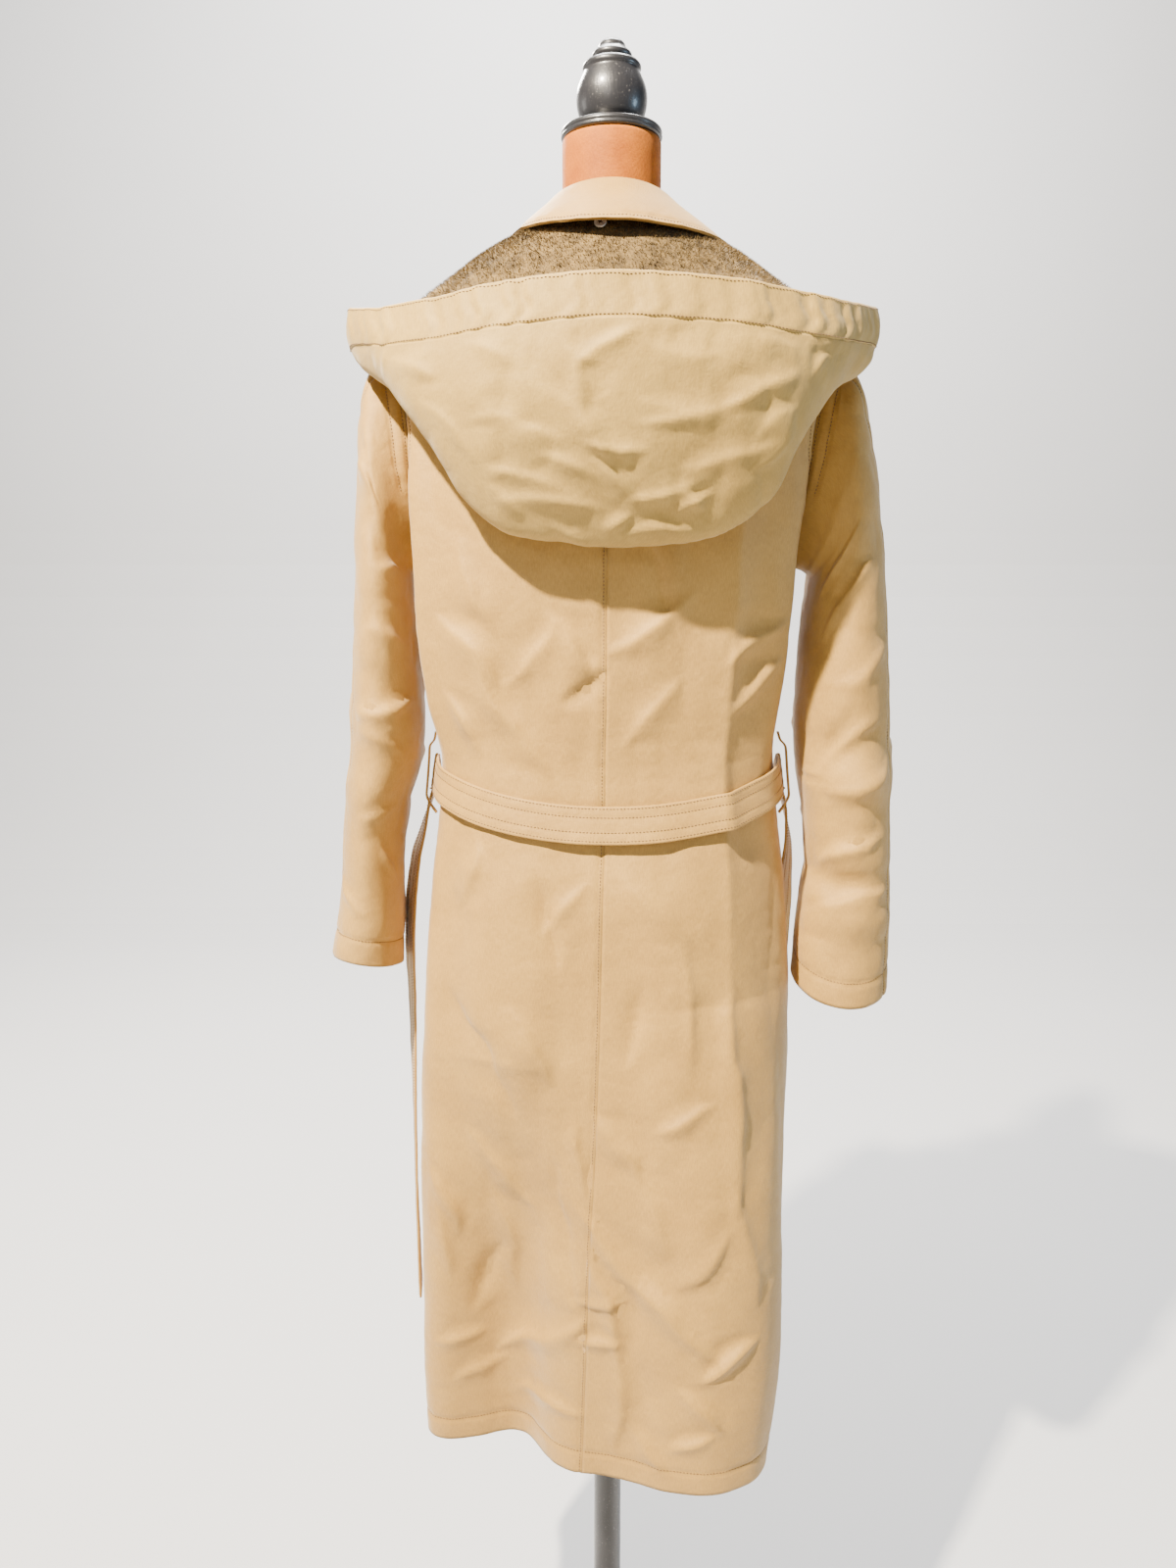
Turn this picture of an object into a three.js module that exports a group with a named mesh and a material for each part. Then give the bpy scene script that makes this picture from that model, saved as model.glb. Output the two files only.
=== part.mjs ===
// A long belted raincoat with its hood down, on a limbless dress form. Millimetres, +Z up, the
// floor at Z = 0. The front faces -Y and the back faces +Y, so the wearer's left is +X.
import * as THREE from 'three';

const WALL = 1.6; // coat cloth, facing and seam allowances pressed flat
const SEAM = 0.35; // clearance between sewn pieces
const FLOOR = -80; // the floor's level below the zero of the heights used here
const HEM = 330; // level of the coat's lower edge
const SHOULDER = 1442; // height of the shoulder tips, where the armholes end
const UNDERARM = 1235; // height of the armholes' lowest points
const RAD = Math.PI / 180;

const rows = (names, ...values) =>
  values.map((row) => Object.fromEntries(names.split(' ').map((name, i) => [name, row[i]])));

// Smooth interpolation of one column of a table, with no overshoot between its rows.
function curveOf(table, key, column) {
  const x = table.map((row) => row[key]);
  const y = table.map((row) => row[column]);
  const slope = x.slice(1).map((next, i) => (y[i + 1] - y[i]) / (next - x[i]));
  const tangent = x.map((_, i) => {
    if (i === 0) return slope[0];
    if (i === x.length - 1) return slope[i - 1];
    const product = slope[i - 1] * slope[i];
    return product <= 0 ? 0 : (2 * product) / (slope[i - 1] + slope[i]);
  });
  return (at) => {
    const i = Math.min(Math.max(x.findIndex((value) => value > at) - 1, 0), x.length - 2);
    const last = at >= x[x.length - 1] ? x.length - 2 : i;
    const width = x[last + 1] - x[last];
    const s = Math.min(Math.max((at - x[last]) / width, 0), 1);
    const s2 = s * s;
    const s3 = s2 * s;
    return (
      y[last] * (2 * s3 - 3 * s2 + 1) +
      tangent[last] * width * (s3 - 2 * s2 + s) +
      y[last + 1] * (3 * s2 - 2 * s3) +
      tangent[last + 1] * width * (s3 - s2)
    );
  };
}

const columnsOf = (table, key) =>
  Object.fromEntries(
    Object.keys(table[0])
      .filter((name) => name !== key)
      .map((name) => [name, curveOf(table, key, name)]),
  );

const lerp = THREE.MathUtils.lerp;
const smooth = (x, from, to) => {
  const s = Math.min(Math.max((x - from) / (to - from), 0), 1);
  return s * s * (3 - 2 * s);
};

// The coat's horizontal sections. halfWidth, back and front are measured from the section's
// centre, which lies shift to the wearer's left of the form's axis; seam is where the centre-back
// seam runs; corner fills the section out towards its diagonals; rise and drop lift its back and
// lower its front.
const SECTIONS = rows(
  'z halfWidth back front shift seam corner rise drop',
  [330, 176, 124, 118, 14, 28, 0.05, 0, 0],
  [450, 184, 122, 118, 9, 24, 0.05, 0, 0],
  [560, 187, 121, 118, 7, 20, 0.05, 0, 0],
  [700, 188, 120, 118, 4, 14, 0.05, 0, 0],
  [830, 185, 117, 116, 1, 10, 0.05, 0, 0],
  [930, 179, 111, 110, 1, 8, 0.05, 0, 0],
  [1000, 171, 101, 103, 2, 6, 0.06, 0, 0],
  [1045, 168, 98, 100, 2, 6, 0.06, 0, 0],
  [1110, 175, 103, 106, 5, 5, 0.07, 0, 0],
  [1180, 179, 110, 114, 5, 5, 0.08, 0, 0],
  [1235, 180, 114, 118, 5, 5, 0.08, 0, 0],
  [1300, 189, 115, 119, 3, 4, 0.06, 0, 0],
  [1350, 197, 113, 117, 1, 3, 0.03, 0, 0],
  [1400, 204, 108, 110, 0, 2, 0.02, 0, 4],
  [1442, 205, 100, 100, 0, 1, 0.01, 0, 12],
  [1465, 166, 91, 91, 0, 0, 0, 2, 24],
  [1490, 124, 79, 82, 0, 0, 0, 4, 38],
  [1510, 91, 68, 75, 0, 0, 0, 6, 48],
  [1525, 66, 58, 70, 0, 0, 0, 8, 55],
);
const section = columnsOf(SECTIONS, 'z');

// The main folds of the hanging cloth, as ridges (depth over 0) and troughs. angle is the place
// round the coat in degrees, 0 at centre back and positive to the wearer's left, at the fold's
// upper and lower end; reach is its half-width in degrees; a power under 2 makes it sharper.
const FOLDS = rows(
  'top bottom angleTop angleBottom depth reach power',
  [1420, 1030, 60, 63, 15, 9, 1.6],
  [1400, 1040, 76, 78, -8, 8, 2],
  [1420, 1020, -60, -62, 11, 9, 1.6],
  [1400, 1040, -76, -78, -8, 8, 2],
  [1330, 740, -38, -36, 7, 5, 1.4],
  [1230, 1040, 22, 30, -4, 10, 2],
  [1010, 500, 40, 30, 6, 9, 1.6],
  [990, 640, -14, -18, 5, 8, 2],
  [990, 700, 66, 60, 7, 9, 1.8],
  [820, -200, -34, -43, 52, 25, 2.2],
  [760, -150, 34, 33, -50, 17, 2.4],
  [900, -100, 60, 66, 16, 14, 2],
  [1390, 1040, 122, 118, 12, 10, 1.8],
  [1390, 1040, -122, -118, 12, 10, 1.8],
  [1200, 1040, 145, 150, -5, 9, 2],
  [1200, 1040, -145, -150, -5, 9, 2],
  [980, -150, 118, 124, 22, 15, 2],
  [980, -150, -118, -122, 12, 15, 2],
  [900, -150, 148, 146, -18, 13, 2],
  [900, -150, -146, -148, -16, 13, 2],
);

function foldDepth(degrees, z) {
  let total = 0;
  for (const fold of FOLDS) {
    const along = (z - fold.bottom) / (fold.top - fold.bottom);
    if (along <= 0 || along >= 1) continue;
    const centre = lerp(fold.angleBottom, fold.angleTop, along);
    const away = Math.abs(degrees - centre) / fold.reach;
    total += fold.depth * Math.sin(Math.PI * along) ** 0.8 * Math.exp(-(away ** fold.power));
  }
  return total;
}

// The coat's outer surface, at an angle round it (radians, 0 at centre back) and a height.
function coat(angle, z, folded = 1) {
  const wide = section.halfWidth(z);
  const deep = Math.cos(angle) > 0 ? section.back(z) : section.front(z);
  const swell = 1 + section.corner(z) * Math.sin(2 * angle) ** 2;
  const x = wide * Math.sin(angle) * swell;
  const y = deep * Math.cos(angle) * swell;
  const outward = new THREE.Vector2(x / wide ** 2, y / deep ** 2).normalize();
  const fold = folded * foldDepth(angle / RAD, z);
  const level = Math.cos(angle) > 0 ? section.rise(z) : -section.drop(z);
  return new THREE.Vector3(
    x + outward.x * fold + section.shift(z),
    y + outward.y * fold,
    z + level * Math.cos(angle) ** 2,
  );
}

// The surface's unit normal, from its neighbours a short way off along both parameters.
function normalOf(surface, u, v, stepU, stepV) {
  const alongU = surface(u + stepU, v).sub(surface(u - stepU, v));
  const alongV = surface(u, v + stepV).sub(surface(u, v - stepV));
  return alongV.cross(alongU).normalize();
}

function solidFromGrids(outer, inner, closed = false) {
  const down = outer.length;
  const across = outer[0].length;
  const position = [...outer.flat(), ...inner.flat()].flatMap((p) => [p.x, p.y, p.z]);
  const index = [];
  const at = (side, i, j) => side * down * across + i * across + (j % across);
  const quad = (a, b, c, d) => index.push(a, b, c, a, c, d);
  const lastColumn = closed ? across : across - 1;
  for (let i = 0; i < down - 1; i++) {
    for (let j = 0; j < lastColumn; j++) {
      quad(at(0, i, j), at(0, i, j + 1), at(0, i + 1, j + 1), at(0, i + 1, j));
      quad(at(1, i, j), at(1, i + 1, j), at(1, i + 1, j + 1), at(1, i, j + 1));
    }
  }
  for (let j = 0; j < lastColumn; j++) {
    quad(at(0, 0, j), at(1, 0, j), at(1, 0, j + 1), at(0, 0, j + 1));
    quad(at(0, down - 1, j), at(0, down - 1, j + 1), at(1, down - 1, j + 1), at(1, down - 1, j));
  }
  if (!closed) {
    for (let i = 0; i < down - 1; i++) {
      quad(at(0, i, 0), at(0, i + 1, 0), at(1, i + 1, 0), at(1, i, 0));
      const j = across - 1;
      quad(at(0, i, j), at(1, i, j), at(1, i + 1, j), at(0, i + 1, j));
    }
  }
  const geometry = new THREE.BufferGeometry();
  geometry.setAttribute('position', new THREE.Float32BufferAttribute(position, 3));
  geometry.setIndex(signedVolume(position, index) < 0 ? index.reverse() : index);
  return geometry;
}

function signedVolume(position, index) {
  let total = 0;
  const corner = (i) => new THREE.Vector3().fromArray(position, 3 * i);
  for (let i = 0; i < index.length; i += 3) {
    total += corner(index[i]).dot(corner(index[i + 1]).cross(corner(index[i + 2]))) / 6;
  }
  return total;
}

// A wall on a surface: us and vs are the grid's parameters, and the wall runs between the
// offsets low and high along the normal, each a number or a function of u and v.
function wall(surface, us, vs, low, high, steps) {
  const [stepU, stepV] = steps;
  const offset = (value, u, v) => (typeof value === 'function' ? value(u, v) : value);
  const layer = (value) =>
    vs.map((v) =>
      us(v).map((u) =>
        surface(u, v).addScaledVector(normalOf(surface, u, v, stepU, stepV), offset(value, u, v)),
      ),
    );
  return solidFromGrids(layer(high), layer(low));
}

const spaced = (from, to, count) =>
  Array.from({ length: count + 1 }, (_, i) => lerp(from, to, i / count));

const material = (color, roughness, metalness = 0) =>
  new THREE.MeshStandardMaterial({ color, roughness, metalness, side: THREE.DoubleSide });
const COTTON = material(0xd8c298, 0.85);
const PILE = material(0xa08c68, 1);
const LINEN = material(0xb87a45, 0.9);
const BLACK_WOOD = material(0x1c1c1f, 0.35);
const BUTTON = material(0x8a7350, 0.4);
const WHITE_BUTTON = material(0xe8e4da, 0.4);

const group = new THREE.Group();
function add(name, geometry, finish) {
  const mesh = new THREE.Mesh(geometry, finish);
  mesh.name = name;
  group.add(mesh);
  return mesh;
}

// Body panels. Each row runs from the centre seam to the side seam, the armhole or, above the
// shoulder tips, the shoulder seam.
const ARMHOLES = rows(
  'z back front',
  [1235, 90, 90],
  [1250, 83, 82],
  [1275, 76, 73],
  [1310, 71, 65],
  [1350, 68, 61],
  [1385, 69, 63],
  [1412, 73, 69],
  [1430, 80, 78],
  [1442, 90, 90],
);
const armhole = columnsOf(ARMHOLES, 'z');
const edgeAngle = (z, side) =>
  RAD * (z <= UNDERARM || z >= SHOULDER ? 90 : armhole[side](z));

const PANEL_LEVELS = [
  HEM, 400, 465, 540, 620, 700, 780, 850, 910, 960, 1000, 1045, 1090, 1145, 1195, UNDERARM, 1262,
  1295, 1330, 1368, 1400, 1424, SHOULDER, 1458, 1478, 1500, 1525,
];
const PANEL_STEPS = [0.002, 1];
const arc = (z) => SEAM / 2 / section.halfWidth(z);
const seamAngle = (z) => Math.asin((section.seam(z) - section.shift(z)) / section.halfWidth(z));

function backPanel(name, side) {
  const columns = 12;
  const us = (z) =>
    spaced(0, 1, columns).map((k) =>
      lerp(seamAngle(z) + side * arc(z), side * (edgeAngle(z, 'back') - arc(z)), k),
    );
  add(name, wall(coat, us, PANEL_LEVELS, -WALL, 0, PANEL_STEPS), COTTON);
}
backPanel('back_left', 1);
backPanel('back_right', -1);

// The wearer's right front closes over the left one. The one beneath sinks under it.
const OVERLAP = 38;
const SINK = WALL + 2.6;
function sunk(angle, z) {
  const { x } = coat(angle, z);
  const beyond = smooth(x, OVERLAP * 1.1, OVERLAP * 2);
  return SINK * (1 - beyond) * smooth(x, -OVERLAP * 1.6, -OVERLAP * 1.1);
}

function frontPanel(name, side) {
  const columns = 9;
  const overlapAngle = (z) => Math.asin(OVERLAP / section.halfWidth(z));
  const us = (z) =>
    spaced(0, 1, columns).map((k) =>
      lerp(
        side * (Math.PI + (z > 1500 ? 0.4 : 1) * overlapAngle(z)),
        side * (Math.PI - edgeAngle(z, 'front') + arc(z)),
        k,
      ),
    );
  const outside = (u, v) => (side > 0 ? -sunk(u, v) : 0);
  const inside = (u, v) => outside(u, v) - WALL;
  add(name, wall(coat, us, PANEL_LEVELS, inside, outside, PANEL_STEPS), COTTON);
}
frontPanel('front_left', 1);
frontPanel('front_right', -1);

// Sleeves. outerX, outerZ and innerX, innerZ are a ring's points farthest from and nearest to
// the body; halfDepth and centreY place its front and back; lean lowers its back by that share.
const SLEEVE_COLUMNS = 'outerX outerZ innerX innerZ halfDepth centreY lean';
const SLEEVES = {
  left: rows(
    SLEEVE_COLUMNS,
    [219, 1437, 190, 1234, 57, -6, 0],
    [231, 1421, 194, 1231, 64, -5, 0],
    [239, 1388, 196, 1228, 70, -4, 0],
    [243, 1345, 196, 1222, 74, -4, 0],
    [247, 1290, 195, 1208, 77, -4, 0],
    [250, 1230, 192, 1178, 78, -5, 0],
    [254, 1165, 190, 1133, 77, -6, 0],
    [258, 1105, 188, 1088, 75, -8, 0],
    [262, 1050, 191, 1048, 72, -9, 0],
    [267, 1000, 206, 1000, 69, -9, 0],
    [272, 955, 211, 952, 66, -8, -0.02],
    [277, 910, 213, 905, 62, -7, -0.06],
    [283, 872, 214, 866, 59, -6, -0.1],
    [288, 842, 216, 828, 57, -5, -0.14],
  ),
  right: rows(
    SLEEVE_COLUMNS,
    [220, 1437, 183, 1233, 57, -6, 0],
    [234, 1420, 189, 1230, 64, -5, 0],
    [245, 1385, 192, 1228, 70, -4, 0],
    [254, 1340, 196, 1224, 72, -4, 0],
    [262, 1290, 194, 1210, 73, -4, 0],
    [268, 1235, 190, 1183, 73, -4, 0],
    [274, 1170, 188, 1138, 72, -4, 0],
    [278, 1105, 187, 1088, 70, -4, 0],
    [282, 1045, 190, 1040, 66, -3, 0],
    [285, 990, 198, 990, 62, -2, 0.02],
    [287, 940, 201, 945, 58, 0, 0.08],
    [288, 895, 197, 905, 54, 1, 0.16],
    [289, 855, 192, 862, 51, 2, 0.26],
    [289, 813, 190, 818, 51, 2, 0.36],
  ),
};
// Soft folds across the sleeves, at ring numbers from the armhole: turn is the place round the
// sleeve in degrees, 0 away from the body and 90 at the back.
const SLEEVE_FOLDS = {
  left: rows(
    'ring turn depth along around',
    [4.5, 70, -4, 0.5, 40],
    [7.4, 110, -5, 0.35, 45],
    [8.2, 90, 4, 0.35, 50],
    [10.6, 120, -4, 0.4, 40],
    [9.5, 40, 3, 0.5, 40],
  ),
  right: rows(
    'ring turn depth along around',
    [5.2, 60, -4, 0.5, 40],
    [8.6, 100, -7, 0.4, 50],
    [9.3, 80, 6, 0.4, 60],
    [11.3, 110, -8, 0.35, 55],
    [12.1, 90, 5, 0.4, 55],
  ),
};

const SLEEVE_GAP = 1.4; // between the sleeve's head and the panels' edges
function armholePoint(turn, side) {
  const z = (SHOULDER + UNDERARM) / 2 + ((SHOULDER - UNDERARM) / 2 - SLEEVE_GAP) * Math.cos(turn);
  const behind = Math.sin(turn) >= 0;
  const edge = edgeAngle(z, behind ? 'back' : 'front') + SLEEVE_GAP / section.back(z);
  return coat(side * (behind ? edge : Math.PI - edge), z);
}

function sleevePoint(name) {
  const side = name === 'left' ? 1 : -1;
  const table = SLEEVES[name].map((row, i) => ({ ...row, ring: i + 1 }));
  const ring = columnsOf(table, 'ring');
  return (turn, at) => {
    const k = Math.max(at, 1);
    const outer = new THREE.Vector2(ring.outerX(k), ring.outerZ(k));
    const inner = new THREE.Vector2(ring.innerX(k), ring.innerZ(k));
    const middle = outer.clone().add(inner).multiplyScalar(0.5);
    const half = outer.clone().sub(inner).multiplyScalar(0.5);
    const fold = SLEEVE_FOLDS[name].reduce((total, f) => {
      const around = (turn / RAD - f.turn) / f.around;
      return total + f.depth * Math.exp(-(((k - f.ring) / f.along) ** 2) - around ** 2);
    }, 0);
    const grow = 1 + fold / ring.halfDepth(k);
    const fall = -ring.lean(k) * ring.halfDepth(k) * Math.sin(turn);
    const hanging = new THREE.Vector3(
      side * (middle.x + half.x * Math.cos(turn) * grow),
      ring.centreY(k) + ring.halfDepth(k) * Math.sin(turn) * grow,
      middle.y + half.y * Math.cos(turn) + fall,
    );
    if (at >= 1) return hanging;
    const start = armholePoint(turn, side);
    return start.lerp(hanging, Math.max(at, -0.5));
  };
}

const SLEEVE_RINGS = [
  0, 0.5, 1, 1.7, 2.5, 3.5, 4.5, 5.5, 6.5, 7.4, 8.2, 9, 9.8, 10.6, 11.3, 12.2, 13.2, 14,
];
const SLEEVE_STEPS = [0.01, 0.05];
const HIND_SEAM = 38; // the sleeve's two seams, in degrees round it
const FRONT_SEAM = 232;
function sleevePiece(name, side, from, to, count) {
  const gap = 0.004; // radians, half the seam's clearance
  const surface = sleevePoint(side);
  const us = () => spaced(from * RAD + gap, to * RAD - gap, count);
  const inward = side === 'left' ? -WALL : WALL;
  add(name, wall(surface, us, SLEEVE_RINGS, 0, inward, SLEEVE_STEPS), COTTON);
}
for (const side of ['left', 'right']) {
  sleevePiece(`sleeve_${side}_upper`, side, FRONT_SEAM - 360, HIND_SEAM, 9);
  sleevePiece(`sleeve_${side}_under`, side, HIND_SEAM, FRONT_SEAM, 9);
}

// Collar: rings round the neck, from the neck seam up to the fold and down to the outer edge.
// spread widens a ring on the wearer's right only, where the fall has slipped outwards.
const COLLAR_WALL = 2.2;
const COLLAR_END = 168; // where the collar stops beside the front's centre, in degrees
const COLLAR = rows(
  'ring halfWidth back front z rise drop spread',
  [0, 65.5, 57.5, 69, 1525.8, 8, 55, 0],
  [1, 58, 53.5, 66, 1547, 7, 57, 0],
  [2, 52, 51, 61, 1566, 5, 60, 0],
  [2.6, 51, 51.5, 60, 1572, 5, 62, 0],
  [3.2, 54.5, 55, 63, 1571, 5, 64, 0],
  [4, 66, 68, 74, 1561, 2, 68, 4],
  [5, 80, 83, 90, 1550, -2, 76, 10],
  [6, 94, 98, 106, 1538, -8, 84, 18],
);
const collarRing = columnsOf(COLLAR, 'ring');
function collar(angle, ring) {
  const behind = Math.cos(angle) > 0;
  const level = behind ? collarRing.rise(ring) : -collarRing.drop(ring);
  const slip = Math.max(-Math.sin(angle), 0) ** 2 * collarRing.spread(ring);
  const deep = behind ? collarRing.back(ring) : collarRing.front(ring);
  return new THREE.Vector3(
    (collarRing.halfWidth(ring) + slip) * Math.sin(angle),
    deep * Math.cos(angle),
    collarRing.z(ring) + level * Math.cos(angle) ** 2 - 0.58 * slip,
  );
}
const collarAngles = () => spaced(-COLLAR_END * RAD, COLLAR_END * RAD, 28);
const COLLAR_STEPS = [0.01, 0.05];
const STAND_RINGS = [0, 1, 1.96];
const FALL_RINGS = [2.02, 2.6, 3.2, 4, 5, 6];
const collarWall = (rings) => wall(collar, collarAngles, rings, -COLLAR_WALL, 0, COLLAR_STEPS);
add('collar_stand', collarWall(STAND_RINGS), COTTON);
add('collar_fall', collarWall(FALL_RINGS), COTTON);

// Hood, hanging open behind: from its neck edge down the back, round its bottom and up to the
// rim. neckZ is the level of its neck edge on the coat and restZ the level down to which it lies
// on the coat; the other columns place its bottom and its rim, and belly is how far the outer
// wall swells between them.
const HOOD_WALL = 1.6;
const PILE_DEPTH = 5;
const HOOD = rows(
  'angle neckZ restZ bottomX bottomY bottomZ rimX rimY rimZ belly',
  [-128, 1500, 1462, -142, -84, 1441, -146, -96, 1456, 1],
  [-112, 1508, 1452, -190, -58, 1434, -192, -66, 1458, 2],
  [-98, 1512, 1449, -222, -28, 1436, -225, -28, 1466, 2],
  [-88, 1514, 1449, -234, 12, 1430, -240, 20, 1468, 3],
  [-78, 1515, 1449, -224, 56, 1412, -238, 52, 1466, 5],
  [-66, 1515, 1430, -190, 92, 1386, -222, 84, 1462, 9],
  [-52, 1516, 1385, -162, 116, 1344, -194, 118, 1459, 14],
  [-38, 1516, 1325, -130, 130, 1290, -154, 146, 1460, 18],
  [-22, 1517, 1295, -86, 138, 1263, -98, 172, 1464, 20],
  [0, 1517, 1285, -6, 142, 1252, 0, 187, 1467, 20],
  [22, 1517, 1295, 82, 138, 1262, 98, 170, 1461, 20],
  [38, 1516, 1325, 124, 130, 1289, 154, 142, 1455, 18],
  [52, 1516, 1385, 158, 116, 1341, 194, 112, 1455, 14],
  [66, 1515, 1430, 188, 92, 1384, 222, 80, 1460, 9],
  [78, 1515, 1449, 222, 56, 1412, 238, 50, 1466, 5],
  [88, 1514, 1449, 233, 12, 1430, 242, 18, 1468, 3],
  [98, 1512, 1449, 221, -28, 1436, 225, -28, 1466, 2],
  [112, 1508, 1452, 190, -58, 1434, 192, -66, 1458, 2],
  [128, 1500, 1462, 142, -84, 1441, 146, -96, 1456, 1],
);
const hoodAt = columnsOf(HOOD, 'angle');
// How far the hood lies off the coat, down from its neck edge: it bunches below the collar.
const HOOD_LIFT = rows('share lift', [0, 4], [0.14, 17], [0.4, 16], [0.7, 11], [1, 8]);
const HOOD_CLIMB = 17; // how far its neck edge stands up under the collar
const HOOD_ROUND = 7; // the radius of the turn at its bottom
function hoodSection(degrees) {
  const at = (name) => hoodAt[name](degrees);
  const angle = degrees * RAD;
  const rest = HOOD_LIFT.map(({ share, lift }) => {
    const z = lerp(at('neckZ'), at('restZ'), share);
    const outward = normalOf((a, h) => coat(a, h, 0), angle, z, ...PANEL_STEPS);
    const bunch = 0.3 * smooth(Math.abs(degrees), 25, 70) * Math.sin(Math.PI * share ** 0.6);
    const settle = lerp(1, 0.6, smooth(Math.abs(degrees), 85, 120));
    return coat(angle, z, 0).addScaledVector(outward, lift * (1 + bunch) * settle);
  });
  rest[0].z += HOOD_CLIMB * (1 - smooth(Math.abs(degrees), 55, 90));
  const bottom = new THREE.Vector3(at('bottomX'), at('bottomY'), at('bottomZ'));
  const rim = new THREE.Vector3(at('rimX'), at('rimY'), at('rimZ'));
  const away = new THREE.Vector3(rim.x / 2, rim.y + 20, 0).normalize();
  if (Math.abs(degrees) > 90) away.set(rim.x, rim.y, 0).normalize();
  const outer = [0.12, 0.4, 0.7].map((k) => {
    const swell = HOOD_ROUND * (1 - k) + at('belly') * Math.sin(Math.PI * k);
    return bottom.clone().lerp(rim, k).addScaledVector(away, swell);
  });
  return new THREE.CatmullRomCurve3([...rest, bottom, ...outer, rim], false, 'centripetal');
}
const hoodSections = new Map();
function hood(degrees, along) {
  if (!hoodSections.has(degrees)) hoodSections.set(degrees, hoodSection(degrees));
  const curve = hoodSections.get(degrees);
  return curve.getPointAt(Math.min(Math.max(along, 0), 1));
}
const CASING = 34; // width of the gathered channel along the rim
const CASING_GAP = 2.2; // between it and the hood's shell and lining
const hoodLength = (degrees) => {
  hood(degrees, 0);
  return hoodSections.get(degrees).getLength();
};
const casingStart = (degrees) => 1 - Math.min(CASING / hoodLength(degrees), 0.35);
const shellEnd = (degrees) => casingStart(degrees) - CASING_GAP / hoodLength(degrees);
const neckEdge = () => 0;
const rimEdge = () => 1;
const hoodPoint = (from, to) => (degrees, k) => hood(degrees, lerp(from(degrees), to(degrees), k));
const HOOD_BUTTONS = { left: 92, centre: 6, right: -92 };
const HOOD_ANGLES = [
  -128, -114, -102, HOOD_BUTTONS.right, -84, -76, -67, -57, -47, -36, -23, -8, HOOD_BUTTONS.centre,
  22, 36, 47, 57, 67, 76, 84, HOOD_BUTTONS.left, 102, 114, 128,
];
const HOOD_STEPS = [0.5, 0.01];
const BUTTON_LINE = 0.04; // the station at which the buttons fasten the hood to the coat
const HOOD_STATIONS = [0, BUTTON_LINE, 0.1, 0.2, 0.32, 0.42, 0.47, 0.5, 0.54, 0.6, 0.7, 0.84, 1];
const hoodAngles = () => HOOD_ANGLES;
const hoodBody = hoodPoint(neckEdge, shellEnd);
// The pile thins towards the hood's ends, where the turn at the bottom is tight.
const pileDepth = (degrees) => PILE_DEPTH * lerp(1, 0.3, smooth(Math.abs(degrees), 60, 80));
const pileFace = (degrees) => -SEAM - pileDepth(degrees);
const hoodWall = (surface, stations, low, high) =>
  wall(surface, hoodAngles, stations, low, high, HOOD_STEPS);
add('hood_shell', hoodWall(hoodBody, HOOD_STATIONS, 0, HOOD_WALL), COTTON);
add('hood_lining', hoodWall(hoodBody, HOOD_STATIONS, pileFace, -SEAM), PILE);
const CASING_INSIDE = 2.5; // how far the gathered channel stands in from the hood's surface
const CASING_OUTSIDE = HOOD_WALL + 0.6;
const casing = hoodPoint(casingStart, rimEdge);
add('hood_casing', hoodWall(casing, [0, 0.5, 1], -CASING_INSIDE, CASING_OUTSIDE), COTTON);

// Dress form: a padded torso, smaller than the coat except where the coat hangs from its
// shoulders, with its neck, turned cap and finial, pole and round foot.
const TORSO = rows(
  'z inset',
  [790, 62],
  [800, 46],
  [840, 36],
  [930, 32],
  [1020, 34],
  [1110, 34],
  [1200, 26],
  [1300, 18],
  [1380, 12],
  [1425, 7],
  [1442, 4],
  [1452, 2.6],
  [1468, WALL + SEAM + 0.3],
  [1525, WALL + SEAM + 0.3],
);
const WAIST = 1045;
const torsoInset = columnsOf(TORSO, 'z').inset;
const torsoPoint = (angle, z) => {
  const outward = normalOf((a, h) => coat(a, h, 0), angle, z, ...PANEL_STEPS);
  const room = Math.cos(angle) < 0 ? 1.2 * sunk(angle, z) : 0;
  const point = coat(angle, z, 0).addScaledVector(outward, -torsoInset(z) - room);
  return z < WAIST ? point.setZ(z) : point;
};

function ringSolid(rings) {
  const sides = rings[0].length;
  const position = rings.flat().flatMap((p) => [p.x, p.y, p.z]);
  const index = [];
  rings.slice(1).forEach((_, i) => {
    for (let j = 0; j < sides; j++) {
      const [a, b] = [i * sides + j, i * sides + ((j + 1) % sides)];
      index.push(a, b, b + sides, a, b + sides, a + sides);
    }
  });
  const cap = (ring, first) => {
    const centre = ring.reduce((sum, p) => sum.add(p), new THREE.Vector3()).divideScalar(sides);
    const middle = position.length / 3;
    position.push(centre.x, centre.y, centre.z);
    ring.forEach((_, j) => {
      const [a, b] = [first + j, first + ((j + 1) % sides)];
      index.push(...(first === 0 ? [b, a, middle] : [a, b, middle]));
    });
  };
  cap(rings[0], 0);
  cap(rings[rings.length - 1], (rings.length - 1) * sides);
  const geometry = new THREE.BufferGeometry();
  geometry.setAttribute('position', new THREE.Float32BufferAttribute(position, 3));
  geometry.setIndex(signedVolume(position, index) < 0 ? index.reverse() : index);
  return geometry;
}

const FORM_SIDES = 28;
const around = () => spaced(-Math.PI, Math.PI, FORM_SIDES).slice(0, -1);
const torsoRing = (z) => around().map((angle) => torsoPoint(angle, z));
const TORSO_LEVELS = [
  790, 800, 850, 930, 1020, 1110, 1200, 1290, 1360, 1405, 1428, 1442, 1458, 1478, 1500, 1521,
];
const TORSO_TOP = 1521;
add('form_torso', ringSolid(TORSO_LEVELS.map(torsoRing)), LINEN);

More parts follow.
